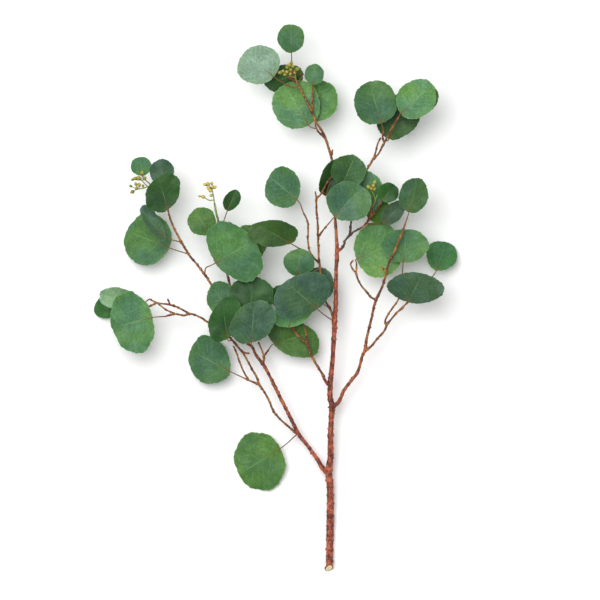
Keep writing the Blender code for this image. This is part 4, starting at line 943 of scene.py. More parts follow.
@dataclass(frozen=True)
class StemPiece:
    """The trunk, limbs, twigs and spurs, with the slanted cut end and the flat sole that it lies on.

    The trunk is the first stem. Radii, steps and reaches are millimetres, places are pixels with a height.
    """

    trunk_sides: int = 24
    limb_sides: int = 18
    twig_sides: int = 12
    trunk_radius: float = 2.4
    limb_radius: float = 1.5
    step: float = 0.7
    cut_point: tuple = (329.2, 569.4, 3.6)
    cut_slant_deg: float = 38.0
    cut_turn: float = 0.26
    cut_rings: int = 6
    cut_dome: float = 0.12
    cut_stations: int = 4
    first_seed: int = 500
    root_collar: float = 0.35
    collar_run: float = 3.5
    young_radius: float = 1.35
    old_radius: float = 2.2
    green_ended: tuple = ("left limb",)
    green_run: float = 26.0
    green_fade: float = 8.0
    # painted shade: these twigs turn near black round a spot where they lie in shade
    painted_shade_twigs: tuple = ("twig b", "twig b right")
    painted_shade_spot: tuple = (349.0, 236.0, 0.0)
    painted_shade_reach: float = 30.0

    def sides_for(self, radius: float) -> int:
        """Return the number of sides for a stem of a radius.

        Args:
            radius: the radius in millimetres.
        Returns:
            The number of sides.
        """
        if radius > self.trunk_radius:
            return self.trunk_sides
        return self.limb_sides if radius > self.limb_radius else self.twig_sides

    def add_stem(self, shell: Shell, number: int, name: str, rows: Array) -> None:
        """Add one stem as a tube with its relief and a collar where it leaves its parent.

        Args:
            shell: the mesh in the making.
            number: the stem's place in the table, which seeds its relief.
            name: its name.
            rows: x, y, z and radius along it.
        """
        steps = np.linalg.norm(np.diff(rows[:, :3], axis=0), axis=1)
        relief = BarkRelief(self.first_seed + number, float(rows[:, 3].mean()), float(np.sum(steps)))

        def uneven(run: Array, turn: Array) -> Array:
            """Add the collar at the stem's start: 1 + collar * exp(-run / collar run)."""
            return relief(run, turn) * (1 + self.root_collar * np.exp(-run / self.collar_run))

        tube = Tube(sides=self.sides_for(float(rows[:, 3].max())), step=self.step)
        corners, faces, run, turn = tube.sweep(rows, relief if number == 0 else uneven)
        if number == 0:
            corners, faces = self.cut_end(corners, faces, tube.sides)
        corners[:, 2] = np.maximum(corners[:, 2], 0.0)
        finish = [0] * len(faces)
        radius = np.interp(run, np.concatenate(([0.0], np.cumsum(steps))), rows[:, 3])
        youth_and_shade = np.clip((self.old_radius - radius) / (self.old_radius - self.young_radius), 0.0, 1.0)
        if name in self.green_ended:
            youth_and_shade = youth_and_shade + np.clip((run - run.max() + self.green_run) / self.green_fade, 0.0, 1.0)
        # painted shade: youth falls below 0 near the spot, and the bark paints it near black there
        if name in self.painted_shade_twigs:
            gap = np.linalg.norm(corners[:, :2] - place(self.painted_shade_spot)[0, :2], axis=1)
            youth_and_shade = youth_and_shade - 2 * np.exp(-((gap / self.painted_shade_reach) ** 2))
        marks = np.column_stack((run, relief(run, turn) - 1, youth_and_shade))
        if number == 0:
            cap, cap_faces, cap_marks = self.cut_face(corners[: tube.sides])
            faces = faces + [block + len(corners) for block in cap_faces]
            finish = finish + [1] * len(cap_faces)
            corners = np.vstack((corners, cap))
            marks = np.vstack((marks, cap_marks))
        shell.add(corners, faces, finish, marks)

    def cut_end(self, corners: Array, faces: list[Array], sides: int) -> tuple[Array, list[Array]]:
        """Slide the corners beyond the slanted cut back onto its plane, along the trunk.

        Args:
            corners: the trunk's corners.
            faces: its blocks of faces.
            sides: the sides of its tube.
        Returns:
            The moved corners, and the faces without those that closed the start.
        """
        end = place(self.cut_point)[0]
        normal = -self.cut_outward()
        depth = (corners - end) @ normal
        inner = corners[sides * self.cut_stations : sides * (self.cut_stations + 1)]
        ahead = unit(inner.mean(axis=0) - corners[:sides].mean(axis=0))
        moved = corners - np.minimum(depth, 0.0)[:, None] * ahead / float(ahead @ normal)
        return moved, [faces[0], faces[2]]

    def cut_outward(self) -> Array:
        """Return the direction that the slanted cut faces: down the trunk, up, and a little to the right."""
        slant = math.radians(self.cut_slant_deg)
        return unit(np.array((self.cut_turn * math.cos(slant), -math.cos(slant), math.sin(slant))))

    def cut_face(self, rim: Array) -> tuple[Array, list[Array], Array]:
        """Close the cut with rings between its rim and its middle: middle + share * (rim - middle).

        Args:
            rim: the corners of the trunk's first ring.
        Returns:
            Corners, arrays of faces, and a row of three values for each corner.
        """
        sides = len(rim)
        middle = rim.mean(axis=0)
        share = np.linspace(1.0, 1.0 / self.cut_rings, self.cut_rings)
        outward = self.cut_outward()
        dome = self.cut_dome * (1 - share**2)
        corners = middle + share[:, None, None] * (rim - middle) + dome[:, None, None] * outward
        corners = np.vstack((corners.reshape(-1, 3), middle + self.cut_dome * outward))
        faces = [
            ring_quads(self.cut_rings, sides)[:, ::-1],
            fan((self.cut_rings - 1) * sides, sides, self.cut_rings * sides)[:, ::-1],
        ]
        radial = np.concatenate((np.repeat(share, sides), (0.0,)))
        turn = np.concatenate((np.tile(np.arange(sides) / sides, self.cut_rings), (0.0,)))
        corners[:, 2] = np.maximum(corners[:, 2], 0.0)
        return corners, faces, np.column_stack((radial, turn, radial))

    def build(self, finishes: "Finishes") -> bpy.types.Object:
        """Build the whole stem.

        Args:
            finishes: the materials.
        Returns:
            The stem's object.
        """
        shell = Shell()
        for number, (name, table) in enumerate(STEMS):
            table = np.array(table, dtype=float)
            rows = np.column_stack((place(table[:, :3]), table[:, 3]))
            self.add_stem(shell, number, name, rows)
        return shell.build("stem_bark", [finishes.bark, finishes.cut_wood], "bark", "stem")


# Buds


@dataclass(frozen=True)
class BudPiece:
    """A cluster of flower buds: round buds with a small pointed cap, on short green stalks."""

    name: str
    stalks: tuple
    buds: tuple
    ripeness: float = 0.3
    swell: float = 1.1
    sides: int = 14
    levels: int = 12
    bottom: float = -1.0
    top: float = 1.3
    point: float = 0.12
    fullness: float = 0.97
    lowness: float = 0.92
    bluntness: float = 0.6
    narrowing: float = 0.28
    seam: tuple = (0.05, 0.52, 0.05)
    shade_spread: float = 0.3
    stalk_radius: float = 0.62
    stalk_swell: float = 1.2
    stalk_sides: int = 10
    pedicel_radius: float = 0.5
    pedicel_sides: int = 8
    step: float = 0.9

    def add_bud(self, shell: Shell, centre: Array, radius: float, heading: Array, shade: float) -> None:
        """Add a bud: a circle of radius reach(level), carried along the heading.

        reach rises as the root of a sine from the stalk, narrows at the seam of the cap and ends in a point.

        Args:
            shell: the mesh in the making.
            centre: the middle of the bud.
            radius: its radius in millimetres.
            heading: the direction from its stalk.
            shade: a number from 0 to 1 that varies its colour.
        """
        heading = unit(heading)
        helper = np.array((0.0, 0.0, 1.0)) if abs(heading[2]) < 0.9 else np.array((1.0, 0.0, 0.0))
        first = unit(np.cross(heading, helper))
        second = np.cross(heading, first)
        part = (np.arange(self.levels) + 0.5) / self.levels
        level = self.bottom + (self.top - self.bottom) * part
        reach = self.fullness * np.sin(math.pi * part**self.lowness) ** self.bluntness
        reach = reach * (1 - self.narrowing * part**3)
        depth, middle, width = self.seam
        reach = reach - depth * np.exp(-(((part - middle) / width) ** 2))
        turn = np.linspace(0.0, 2 * math.pi, self.sides, endpoint=False)
        circle = np.cos(turn)[:, None] * first + np.sin(turn)[:, None] * second
        body = centre + radius * (level[:, None, None] * heading + reach[:, None, None] * circle[None])
        ends = centre + radius * np.array(((self.bottom,), (self.top + self.point,))) * heading
        corners = np.vstack((body.reshape(-1, 3), ends))
        count = self.levels * self.sides
        faces = [
            ring_quads(self.levels, self.sides),
            fan(0, self.sides, count)[:, ::-1],
            fan(count - self.sides, self.sides, count + 1),
        ]
        parts = np.concatenate((np.repeat(part, self.sides), (0.0, 1.0)))
        shell.add(corners, faces, [0] * len(faces), np.column_stack((parts, np.full_like(parts, shade), parts)))

    def add_stalk(self, shell: Shell, rows: Array, sides: int) -> None:
        """Add a stalk as a tube.

        Args:
            shell: the mesh in the making.
            rows: x, y, z and radius along it.
            sides: the sides of the tube.
        """
        corners, faces, run, _ = Tube(sides, self.step).sweep(rows)
        shell.add(corners, faces, [1] * len(faces), np.column_stack((run / run.max(), run, run)))

    def build(self, finishes: "Finishes") -> bpy.types.Object:
        """Build the cluster.

        Args:
            finishes: the materials.
        Returns:
            The cluster's object.
        """
        shell = Shell()
        lines = [place(stalk) for stalk in self.stalks]
        chance = np.random.default_rng(len(self.buds) * 7 + len(self.name))
        for line in lines:
            radii = np.linspace(self.stalk_radius * self.stalk_swell, self.stalk_radius, len(line))
            self.add_stalk(shell, np.column_stack((line, radii)), self.stalk_sides)
        for *spot, radius in self.buds:
            radius = radius * self.swell
            centre = place(spot)[0]
            foot = nearest_on_lines(lines, centre)
            rows = np.column_stack((np.vstack((foot, centre)), np.full(2, self.pedicel_radius)))
            self.add_stalk(shell, rows, self.pedicel_sides)
            spread = chance.uniform(-self.shade_spread, self.shade_spread)
            shade = float(np.clip(self.ripeness + spread, 0.0, 1.0))
            self.add_bud(shell, centre, radius, centre - foot, shade)
        return shell.build(self.name + "_cluster", [finishes.bud, finishes.bud_stalk], "buds", self.name)


# Finishes

Socket = bpy.types.NodeSocket
Material = bpy.types.Material

# How far each cluster has turned from olive green to cream
BUD_RIPENESS = {"buds_crown": 0.15, "buds_left": 0.12, "buds_middle_left": 0.9, "buds_middle_right": 0.4}


@dataclass(frozen=True)
class Pattern:
    """Cloudy noise cut to a mask: its scale and detail, and the values where the mask starts and is full."""

    scale: float
    detail: float
    low: float
    high: float


def linear(colour: tuple) -> tuple:
    """Turn screen red, green and blue from 0 to 255 into the linear values that a socket takes.

    Args:
        colour: red, green and blue.
    Returns:
        Red, green, blue and a full alpha.
    """
    share = np.array(colour, dtype=float) / 255
    value = np.where(share > 0.04045, ((share + 0.055) / 1.055) ** 2.4, share / 12.92)
    return (*value.tolist(), 1.0)


@dataclass
class NodeTree:
    """Short ways to add shader nodes to a tree and to join them. A colour is a tuple as on screen, 0 to 255."""

    tree: bpy.types.NodeTree

    def node(self, kind: str, **settings: object) -> bpy.types.Node:
        """Add a node and set its properties.

        Args:
            kind: the node's type.
            settings: its properties by name.
        Returns:
            The node.
        """
        made = self.tree.nodes.new(kind)
        for name, value in settings.items():
            setattr(made, name, value)
        return made

    def feed(self, socket: Socket, value: object) -> None:
        """Link a socket to another node's output, or set it to a colour or number.

        Args:
            socket: the input.
            value: another node's output, a colour or a number.
        """
        if isinstance(value, Socket):
            self.tree.links.new(value, socket)
        else:
            socket.default_value = linear(value) if isinstance(value, tuple) else value

    def group(self, effect: bpy.types.NodeTree, *values: object) -> tuple:
        """Place a node group, feed its inputs in order and return its outputs.

        Args:
            effect: the node group.
            values: what its inputs take.
        Returns:
            Its output sockets.
        """
        made = self.node("ShaderNodeGroup", node_tree=effect)
        for socket, value in zip(made.inputs, values):
            self.feed(socket, value)
        return tuple(made.outputs)

    def math(self, operation: str, *values: object) -> Socket:
        """Add a math node and return its value.

        Args:
            operation: the node's operation.
            values: what its inputs take.
        Returns:
            The value.
        """
        made = self.node("ShaderNodeMath", operation=operation)
        for socket, value in zip(made.inputs, values):
            self.feed(socket, value)
        return made.outputs[0]

    def times(self, first: object, second: object) -> Socket:
        """Return the product of two values."""
        return self.math("MULTIPLY", first, second)

    def plus(self, first: object, second: object) -> Socket:
        """Return the sum of two values."""
        return self.math("ADD", first, second)

    def less(self, first: object, second: object) -> Socket:
        """Return the first value less the second."""
        return self.math("SUBTRACT", first, second)

    def gap(self, value: object, middle: float) -> Socket:
        """Return how far a value is from a middle."""
        return self.math("ABSOLUTE", self.less(value, middle))

    def mix(self, share: object, first: object, second: object, blend: str = "MIX") -> Socket:
        """Mix two colours by a share and return the colour.

        Args:
            share: how much of the second colour there is.
            first: the first colour.
            second: the second colour.
            blend: how the two are blended.
        Returns:
            The colour.
        """
        made = self.node("ShaderNodeMix", data_type="RGBA", blend_type=blend)
        self.feed(made.inputs[0], share)
        self.feed(made.inputs[6], first)
        self.feed(made.inputs[7], second)
        return made.outputs[2]

    def lay(self, base: object, mask: object, share: float, colour: object) -> Socket:
        """Lay a colour over the base where a mask is, at a share of its full strength."""
        return self.mix(self.times(mask, share), base, colour)

    def band(self, value: object, low: float, high: float) -> Socket:
        """Return 0 below low, 1 above high and a smooth step between them.

        Args:
            value: the value to step.
            low: where the step starts.
            high: where it ends.
        Returns:
            The step's value.
        """
        made = self.node("ShaderNodeMapRange", interpolation_type="SMOOTHSTEP")
        self.feed(made.inputs[0], value)
        made.inputs[1].default_value = low
        made.inputs[2].default_value = high
        return made.outputs[0]

    def fall(self, value: object, low: float, high: float) -> Socket:
        """Return 1 below low, 0 above high and a smooth step between them."""
        return self.less(1.0, self.band(value, low, high))

    def noise(self, spot: object, scale: float, detail: float = 3.0) -> Socket:
        """Return a noise value from 0 to 1 at a place.

        Args:
            spot: the place.
            scale: how many waves there are in a metre.
            detail: how many finer layers it has.
        Returns:
            The value.
        """
        made = self.node("ShaderNodeTexNoise")
        self.feed(made.inputs["Vector"], spot)
        made.inputs["Scale"].default_value = scale
        made.inputs["Detail"].default_value = detail
        return made.outputs["Fac"]

    def pattern(self, spot: object, pattern: Pattern) -> Socket:
        """Return the mask of a pattern at a place."""
        return self.band(self.noise(spot, pattern.scale, pattern.detail), pattern.low, pattern.high)

    def cells(self, spot: object, scale: float, feature: str) -> Socket:
        """Return the distance value of a cell pattern at a place.

        Args:
            spot: the place.
            scale: how many cells there are in a metre.
            feature: which distance is measured.
        Returns:
            The distance.
        """
        made = self.node("ShaderNodeTexVoronoi", feature=feature)
        self.feed(made.inputs["Vector"], spot)
        made.inputs["Scale"].default_value = scale
        return made.outputs["Distance"]

    def bump(self, height: object, strength: float, distance: float, before: Optional[Socket] = None) -> Socket:
        """Return a normal that follows a height, on top of the normal before it.

        Args:
            height: the height.
            strength: the bump's strength.
            distance: its depth in metres.
            before: the normal that it adds to, if there is one.
        Returns:
            The normal.
        """
        made = self.node("ShaderNodeBump")
        if before is not None:
            self.feed(made.inputs["Normal"], before)
        made.inputs["Strength"].default_value = strength
        made.inputs["Distance"].default_value = distance
        self.feed(made.inputs["Height"], height)
        return made.outputs["Normal"]

    def where(self) -> Socket:
        """Return the place in object coordinates."""
        return self.node("ShaderNodeTexCoord").outputs["Object"]

    def mark(self) -> tuple:
        """Return the three values of the piece's own place attribute.

        Returns:
            The three value sockets.
        """
        made = self.node("ShaderNodeAttribute", attribute_name="mark")
        split = self.node("ShaderNodeSeparateXYZ")
        self.feed(split.inputs[0], made.outputs["Vector"])
        return tuple(split.outputs)

    def dress(self, base: Socket, mask: Socket, change: float, roughness: float, normal: Socket) -> None:
        """Give the Principled node its colour, its roughness and its normal.

        Args:
            base: the colour.
            mask: where it is rougher.
            change: how much rougher it is there.
            roughness: the roughness elsewhere.
            normal: the normal.
        """
        skin = self.tree.nodes["Principled BSDF"]
        self.feed(skin.inputs["Base Color"], base)
        self.feed(skin.inputs["Roughness"], self.plus(self.times(mask, change), roughness))
        self.feed(skin.inputs["Normal"], normal)


def start_material(name: str) -> tuple[Material, NodeTree, Socket]:
    """Start a material and return it with its node helper and the place on the piece.

    Args:
        name: the material's name.
    Returns:
        The material, its node helper and the place socket.
    """
    material = bpy.data.materials.new(name)
    material.use_nodes = True
    n = NodeTree(material.node_tree)
    return material, n, n.where()


@dataclass(frozen=True)
class Effects:
    """The node groups that more than one leaf finish uses: the pattern of the veins and the uneven colour."""

    wander: tuple = (45.0, 0.30)
    vein_lean: float = 0.42
    lopsided: float = 0.021
    vein_pairs: float = 7.0
    vein_edge: tuple = (0.015, 0.085)
    fade: tuple = (0.35, 0.95)
    fade_share: float = 0.65
    breaks: Pattern = Pattern(110.0, 3.0, 0.40, 0.60)
    net_scale: float = 520.0
    net_edge: tuple = (0.02, 0.13)
    midrib_edge: tuple = (0.010, 0.034)
    midrib_end: tuple = (0.62, 0.98)
    patches: Pattern = Pattern(90.0, 8.0, 0.38, 0.64)
    speckles: Pattern = Pattern(620.0, 2.0, 0.54, 0.68)
    broad: Pattern = Pattern(19.0, 1.0, 0.40, 0.60)
    grain_scale: float = 520.0

    @staticmethod
    def start_group(name: str, inputs: dict, outputs: tuple) -> tuple:
        """Start a shader node group.

        Args:
            name: the group's name.
            inputs: socket types by name.
            outputs: the names of its values.
        Returns:
            The group, its node helper, its input sockets and its output sockets.
        """
        group = bpy.data.node_groups.new(name, "ShaderNodeTree")
        for label, kind in inputs.items():
            group.interface.new_socket(label, in_out="INPUT", socket_type=kind)
        for label in outputs:
            group.interface.new_socket(label, in_out="OUTPUT", socket_type="NodeSocketFloat")
        n = NodeTree(group)
        return group, n, n.node("NodeGroupInput").outputs, n.node("NodeGroupOutput").inputs

    def make_veins(self) -> bpy.types.NodeTree:
        """Make the effect that draws the veins: masks for the side veins, the fine net and the midrib.

        The side veins leave the midrib at about 45 degrees: a saw wave of along - lean * across, with an uneven
        phase, thin where the wave turns. The net is the edges of a fine cell pattern.

        Returns:
            The group.
        """
        inputs = {"Across": "NodeSocketFloat", "Along": "NodeSocketFloat", "Place": "NodeSocketVector"}
        group, n, start, end = self.start_group("veins", inputs, ("Side Veins", "Net", "Midrib"))
        across, along, spot = start[0], start[1], start[2]
        out = n.math("ABSOLUTE", across)
        wander = n.times(n.less(n.noise(spot, self.wander[0]), 0.5), self.wander[1])
        wave = n.plus(n.less(along, n.times(out, self.vein_lean)), wander)
        uneven = n.plus(wave, n.times(n.math("SIGN", across), self.lopsided))
        turns = n.math("FRACT", n.times(uneven, self.vein_pairs))
        vein = n.fall(n.gap(turns, 0.5), *self.vein_edge)
        fade = n.less(1.0, n.times(n.band(out, *self.fade), self.fade_share))
        n.feed(end[0], n.times(n.times(vein, fade), n.pattern(spot, self.breaks)))
        n.feed(end[1], n.fall(n.cells(spot, self.net_scale, "DISTANCE_TO_EDGE"), *self.net_edge))
        n.feed(end[2], n.times(n.fall(out, *self.midrib_edge), n.fall(along, *self.midrib_end)))
        return group

    def make_mottle(self) -> bpy.types.NodeTree:
        """Make the effect for uneven colour: soft patches, small speckles, broad changes and fine grain.

        Returns:
            The group.
        """
        outputs = ("Patches", "Speckles", "Broad", "Grain")
        group, n, start, end = self.start_group("mottle", {"Place": "NodeSocketVector"}, outputs)
        for socket, pattern in zip(end, (self.patches, self.speckles, self.broad)):
            n.feed(socket, n.pattern(start[0], pattern))
        n.feed(end[3], n.noise(start[0], self.grain_scale))
        return group


@dataclass(frozen=True)
class LeafFinish:
    """A matte waxy leaf: bluer in the middle, yellower at the edge, mottled, with veins and a pale margin."""

    middle: tuple
    edge: tuple
    vein: tuple
    patch: tuple
    roughness: float
    bloom_share: float
    stalk_stain: tuple = (118, 92, 48)
    underside: tuple = (158, 176, 150)
    underside_share: float = 0.35
    edge_band: tuple = (0.45, 1.0)
    edge_share: float = 0.40
    broad_share: float = 0.85
    broad_least: float = 0.08
    patch_share: float = 0.30
    bloom: Pattern = Pattern(75.0, 4.0, 0.45, 0.75)
    bloom_lift: int = 44
    speckle_share: float = 0.12
    grain_range: tuple = (0.3, 0.7, 0.74, 1.26)
    net_share: float = 0.12
    side_vein_share: float = 0.50
    midrib_share: float = 0.40
    margin_band: tuple = (0.965, 0.995)
    margin_share: float = 0.5
    stain_along: tuple = (0.02, 0.16)
    stain_across: tuple = (0.05, 0.30)
    stain_share: float = 0.22
    rougher: float = 0.12
    specular: float = 0.35
    vein_bump: tuple = (0.45, 0.00022)
    soft_bump: tuple = (1.0, 0.0042)

    def make(self, name: str, veins: bpy.types.NodeTree, mottle: bpy.types.NodeTree) -> Material:
        """Make the material. The mark holds across, along and the ring, with 2 added to it on the top face.

        Args:
            name: the material's name.
            veins: the node group of the veins.
            mottle: the node group of the uneven colour.
        Returns:
            The material.
        """
        material, n, spot = start_material(name)
        across, along, layer = n.mark()
        side_veins, net, midrib = n.group(veins, across, along, spot)
        patches, speckles, broad, grain = n.group(mottle, spot)
        top = n.math("GREATER_THAN", layer, 0.75 * TOP_MARK)
        ring = n.less(layer, n.times(top, TOP_MARK))
        outer = n.times(n.band(ring, *self.edge_band), self.edge_share)
        broad = n.plus(n.times(broad, self.broad_share), self.broad_least)
        base = n.mix(n.math("MAXIMUM", outer, broad), self.middle, self.edge)
        base = n.lay(base, patches, self.patch_share, self.patch)
        waxy = tuple(min(255, value + self.bloom_lift) for value in self.middle)
        base = n.lay(base, n.pattern(spot, self.bloom), self.bloom_share, waxy)
        base = n.lay(base, speckles, self.speckle_share, self.vein)
        shade = n.node("ShaderNodeMapRange")
        for socket, value in zip(shade.inputs, (grain, *self.grain_range)):
            n.feed(socket, value)
        base = n.mix(1.0, base, shade.outputs[0], "MULTIPLY")
        base = n.lay(base, net, self.net_share, self.patch)
        base = n.lay(base, side_veins, self.side_vein_share, self.vein)
        base = n.lay(base, midrib, self.midrib_share, self.vein)
        base = n.lay(base, n.band(ring, *self.margin_band), self.margin_share, self.vein)
        # each leaf's tint multiplies its colour: its own tone change, with painted shade and painted light
        tint_and_shade = n.node("ShaderNodeAttribute", attribute_name="tint_and_shade").outputs["Vector"]
        base = n.mix(1.0, base, tint_and_shade, "MULTIPLY")
        near = n.times(n.fall(along, *self.stain_along), n.fall(n.math("ABSOLUTE", across), *self.stain_across))
        base = n.lay(base, near, self.stain_share, self.stalk_stain)
        base = n.mix(top, n.mix(self.underside_share, base, self.underside), base)
        raised = n.less(n.less(n.times(patches, 0.4), side_veins), n.times(net, 0.3))
        crease = n.math("SQRT", n.plus(n.times(across, across), 0.002))
        leans = n.times(n.less(n.noise(spot, 9.0, 0.0), 0.5), 5.0)
        soft = n.plus(n.times(crease, leans), n.times(n.noise(spot, 26.0, 1.0), 1.4))
        normal = n.bump(raised, *self.vein_bump, n.bump(soft, *self.soft_bump))
        n.dress(base, patches, self.rougher, self.roughness, normal)
        material.node_tree.nodes["Principled BSDF"].inputs["Specular IOR Level"].default_value = self.specular
        return material


LEAF_FINISHES = {
    Tone.PALE: LeafFinish((116, 146, 124), (130, 160, 116), (171, 194, 163), (92, 126, 104), 0.60, 0.35),
    Tone.LIGHT: LeafFinish((58, 106, 72), (82, 130, 54), (111, 159, 94), (43, 87, 52), 0.50, 0.25),
    Tone.MID: LeafFinish((54, 98, 64), (74, 119, 44), (105, 154, 80), (38, 77, 45), 0.52, 0.22),
    Tone.BLUE: LeafFinish((48, 86, 66), (62, 101, 46), (96, 140, 89), (32, 67, 47), 0.55, 0.30),
    Tone.GREY: LeafFinish((43, 76, 64), (56, 89, 48), (83, 124, 87), (30, 59, 47), 0.58, 0.38),
    # DARK and DEEP: partly the leaves' own darker green, partly painted shade of leaves that lie under others
    Tone.DARK: LeafFinish((30, 66, 28), (44, 85, 20), (64, 110, 40), (20, 52, 18), 0.50, 0.15),
    Tone.DEEP: LeafFinish((20, 66, 17), (31, 88, 12), (52, 112, 34), (12, 48, 12), 0.48, 0.08),
    Tone.YELLOW: LeafFinish((44, 88, 8), (66, 110, 6), (96, 142, 20), (34, 74, 6), 0.50, 0.15),
}


@dataclass(frozen=True)
class StalkFinish:
    """A stalk whose colour changes from its foot at the twig over its middle to its end, with fine flecks."""

    foot: tuple
    middle: tuple
    end: tuple
    first_band: tuple = (0.10, 0.90)
    last_band: tuple = (1.30, 1.85)
    flecks: Pattern = Pattern(700.0, 2.0, 0.45, 0.70)
    fleck_share: float = 0.35
    fleck_shade: float = 0.72

    def make(self, name: str) -> Material:
        """Make the material. The mark's first value runs from 0 at the foot to 2 at the end.

        Args:
            name: the material's name.
        Returns:
            The material.
        """
        material, n, spot = start_material(name)
        part = n.mark()[0]
        base = n.mix(n.band(part, *self.first_band), self.foot, self.middle)
        base = n.mix(n.band(part, *self.last_band), base, self.end)
        fleck = n.pattern(spot, self.flecks)
        base = n.lay(base, fleck, self.fleck_share, tuple(int(value * self.fleck_shade) for value in self.foot))
        n.dress(base, fleck, 0.15, 0.42, n.bump(fleck, 0.4, 0.00015))
        return material


@dataclass(frozen=True)
class BarkFinish:
    """Red-brown bark with dark fissures and pale dots, ochre on young twigs, green on some, and near black
    where shade is painted on twigs that lie in shade.
    """

    old: tuple = ((104, 36, 22), (188, 92, 58))
    young: tuple = ((100, 46, 20), (164, 108, 36))
    fresh: tuple = ((92, 122, 52), (140, 160, 84))
    # painted shade: the near black colours of twigs that lie in shade
    painted_shade: tuple = ((42, 46, 34), (80, 74, 54))
    grain_colour: tuple = (70, 32, 22)
    fissure_colour: tuple = (58, 24, 16)
    scar_colour: tuple = (80, 30, 20)
    dot_colour: tuple = (216, 160, 112)
    fresh_band: tuple = (1.0, 2.0)
    painted_shade_band: tuple = (0.1, 0.7)
    stretch: tuple = (1.0, 0.28, 1.0)
    blotches: Pattern = Pattern(120.0, 5.0, 0.38, 0.62)
    grain: Pattern = Pattern(560.0, 4.0, 0.47, 0.63)
    fissure_fields: Pattern = Pattern(210.0, 3.0, 0.45, 0.62)
    dot_fields: Pattern = Pattern(150.0, 3.0, 0.44, 0.54)
    fissure_scale: float = 620.0
    fissure_edge: tuple = (0.02, 0.16)
    scar_band: tuple = (0.20, 0.50)
    dot_scale: float = 420.0
    dot_edge: tuple = (0.16, 0.32)

    def make(self, name: str) -> Material:
        """Make the material.

        The mark holds the run, the relief and the youth: 1 on a young twig, 2 where it is green, less than 0
        where painted shade makes it near black.

        Args:
            name: the material's name.
        Returns:
            The material.
        """
        material, n, spot = start_material(name)
        _, relief, youth_and_shade = n.mark()
        mapping = n.node("ShaderNodeMapping")
        n.feed(mapping.inputs["Vector"], spot)
        mapping.inputs["Scale"].default_value = self.stretch
        drawn_out = mapping.outputs[0]
        blotches = n.pattern(spot, self.blotches)
        base = n.mix(youth_and_shade, n.mix(blotches, *self.old), n.mix(blotches, *self.young))
        base = n.mix(n.band(youth_and_shade, *self.fresh_band), base, n.mix(blotches, *self.fresh))
        # painted shade: near black where youth is below 0
        base = n.mix(n.band(n.less(0.0, youth_and_shade), *self.painted_shade_band), base, n.mix(blotches, *self.painted_shade))
        grain = n.pattern(drawn_out, self.grain)
        base = n.lay(base, grain, 0.70, self.grain_colour)
        fissure = n.fall(n.cells(drawn_out, self.fissure_scale, "DISTANCE_TO_EDGE"), *self.fissure_edge)
        fissure = n.times(fissure, n.pattern(spot, self.fissure_fields))
        base = n.lay(base, fissure, 0.65, self.fissure_colour)
        base = n.lay(base, n.band(relief, *self.scar_band), 0.35, self.scar_colour)
        dot = n.fall(n.cells(spot, self.dot_scale, "F1"), *self.dot_edge)
        dot = n.times(dot, n.pattern(spot, self.dot_fields))
        base = n.lay(base, dot, 0.75, self.dot_colour)
        height = n.less(dot, n.plus(n.times(grain, 0.5), fissure))
        n.dress(base, grain, 0.2, 0.55, n.bump(height, 0.7, 0.0003))
        return material


@dataclass(frozen=True)
class CutWoodFinish:
    """The fresh cut: cream wood with rings, a small darker pith and a brown rim of bark."""

    creams: tuple = ((250, 244, 200), (236, 226, 172))
    ring_colour: tuple = (196, 172, 112)
    pith_colour: tuple = (150, 112, 66)
    rim_colour: tuple = (150, 96, 60)
    tones: Pattern = Pattern(500.0, 3.0, 0.35, 0.65)
    wander: tuple = (320.0, 0.08)
    ring_count: float = 7.0
    ring_edge: tuple = (0.05, 0.30)
    pith_edge: tuple = (0.10, 0.20)
    rim_band: tuple = (0.96, 1.0)

    def make(self, name: str) -> Material:
        """Make the material. The mark's first value is 0 at the pith and 1 at the rim.

        Args:
            name: the material's name.
        Returns:
            The material.
        """
        material, n, spot = start_material(name)
        uneven = n.plus(n.mark()[0], n.times(n.noise(spot, self.wander[0]), self.wander[1]))
        turns = n.math("FRACT", n.times(uneven, self.ring_count))
        line = n.fall(n.gap(turns, 0.5), *self.ring_edge)
        base = n.lay(n.mix(n.pattern(spot, self.tones), *self.creams), line, 0.22, self.ring_colour)
        base = n.mix(n.fall(uneven, *self.pith_edge), base, self.pith_colour)
        base = n.mix(n.band(uneven, *self.rim_band), base, self.rim_colour)
        n.dress(base, line, 0.1, 0.6, n.bump(line, 0.3, 0.0001))
        return material


@dataclass(frozen=True)
class BudFinish:
    """Yellow-green buds that turn tan towards the point, with a line at the seam of the cap."""

    unripe: tuple = (122, 132, 10)
    ripe: tuple = (206, 186, 92)
    foot: tuple = (78, 92, 8)
    point: tuple = (196, 138, 74)
    seam_colour: tuple = (112, 96, 44)
    fleck_colour: tuple = (150, 116, 60)
    foot_band: tuple = (0.05, 0.50)
    point_band: tuple = (0.70, 1.0)
    seam: float = 0.52
    seam_edge: tuple = (0.01, 0.045)
    flecks: Pattern = Pattern(900.0, 2.0, 0.5, 0.72)

    def make(self, name: str) -> Material:
        """Make the material. The mark holds the part of the way from foot to point, and the ripeness.

        Args:
            name: the material's name.
        Returns:
            The material.
        """
        material, n, spot = start_material(name)
        part, shade, _ = n.mark()
        base = n.mix(n.band(part, *self.foot_band), self.foot, n.mix(shade, self.unripe, self.ripe))
        base = n.lay(base, n.band(part, *self.point_band), 0.8, self.point)
        base = n.lay(base, n.fall(n.gap(part, self.seam), *self.seam_edge), 0.5, self.seam_colour)
        fleck = n.pattern(spot, self.flecks)
        base = n.lay(base, fleck, 0.35, self.fleck_colour)
        n.dress(base, fleck, 0.2, 0.38, n.bump(fleck, 0.3, 0.00015))
        return material


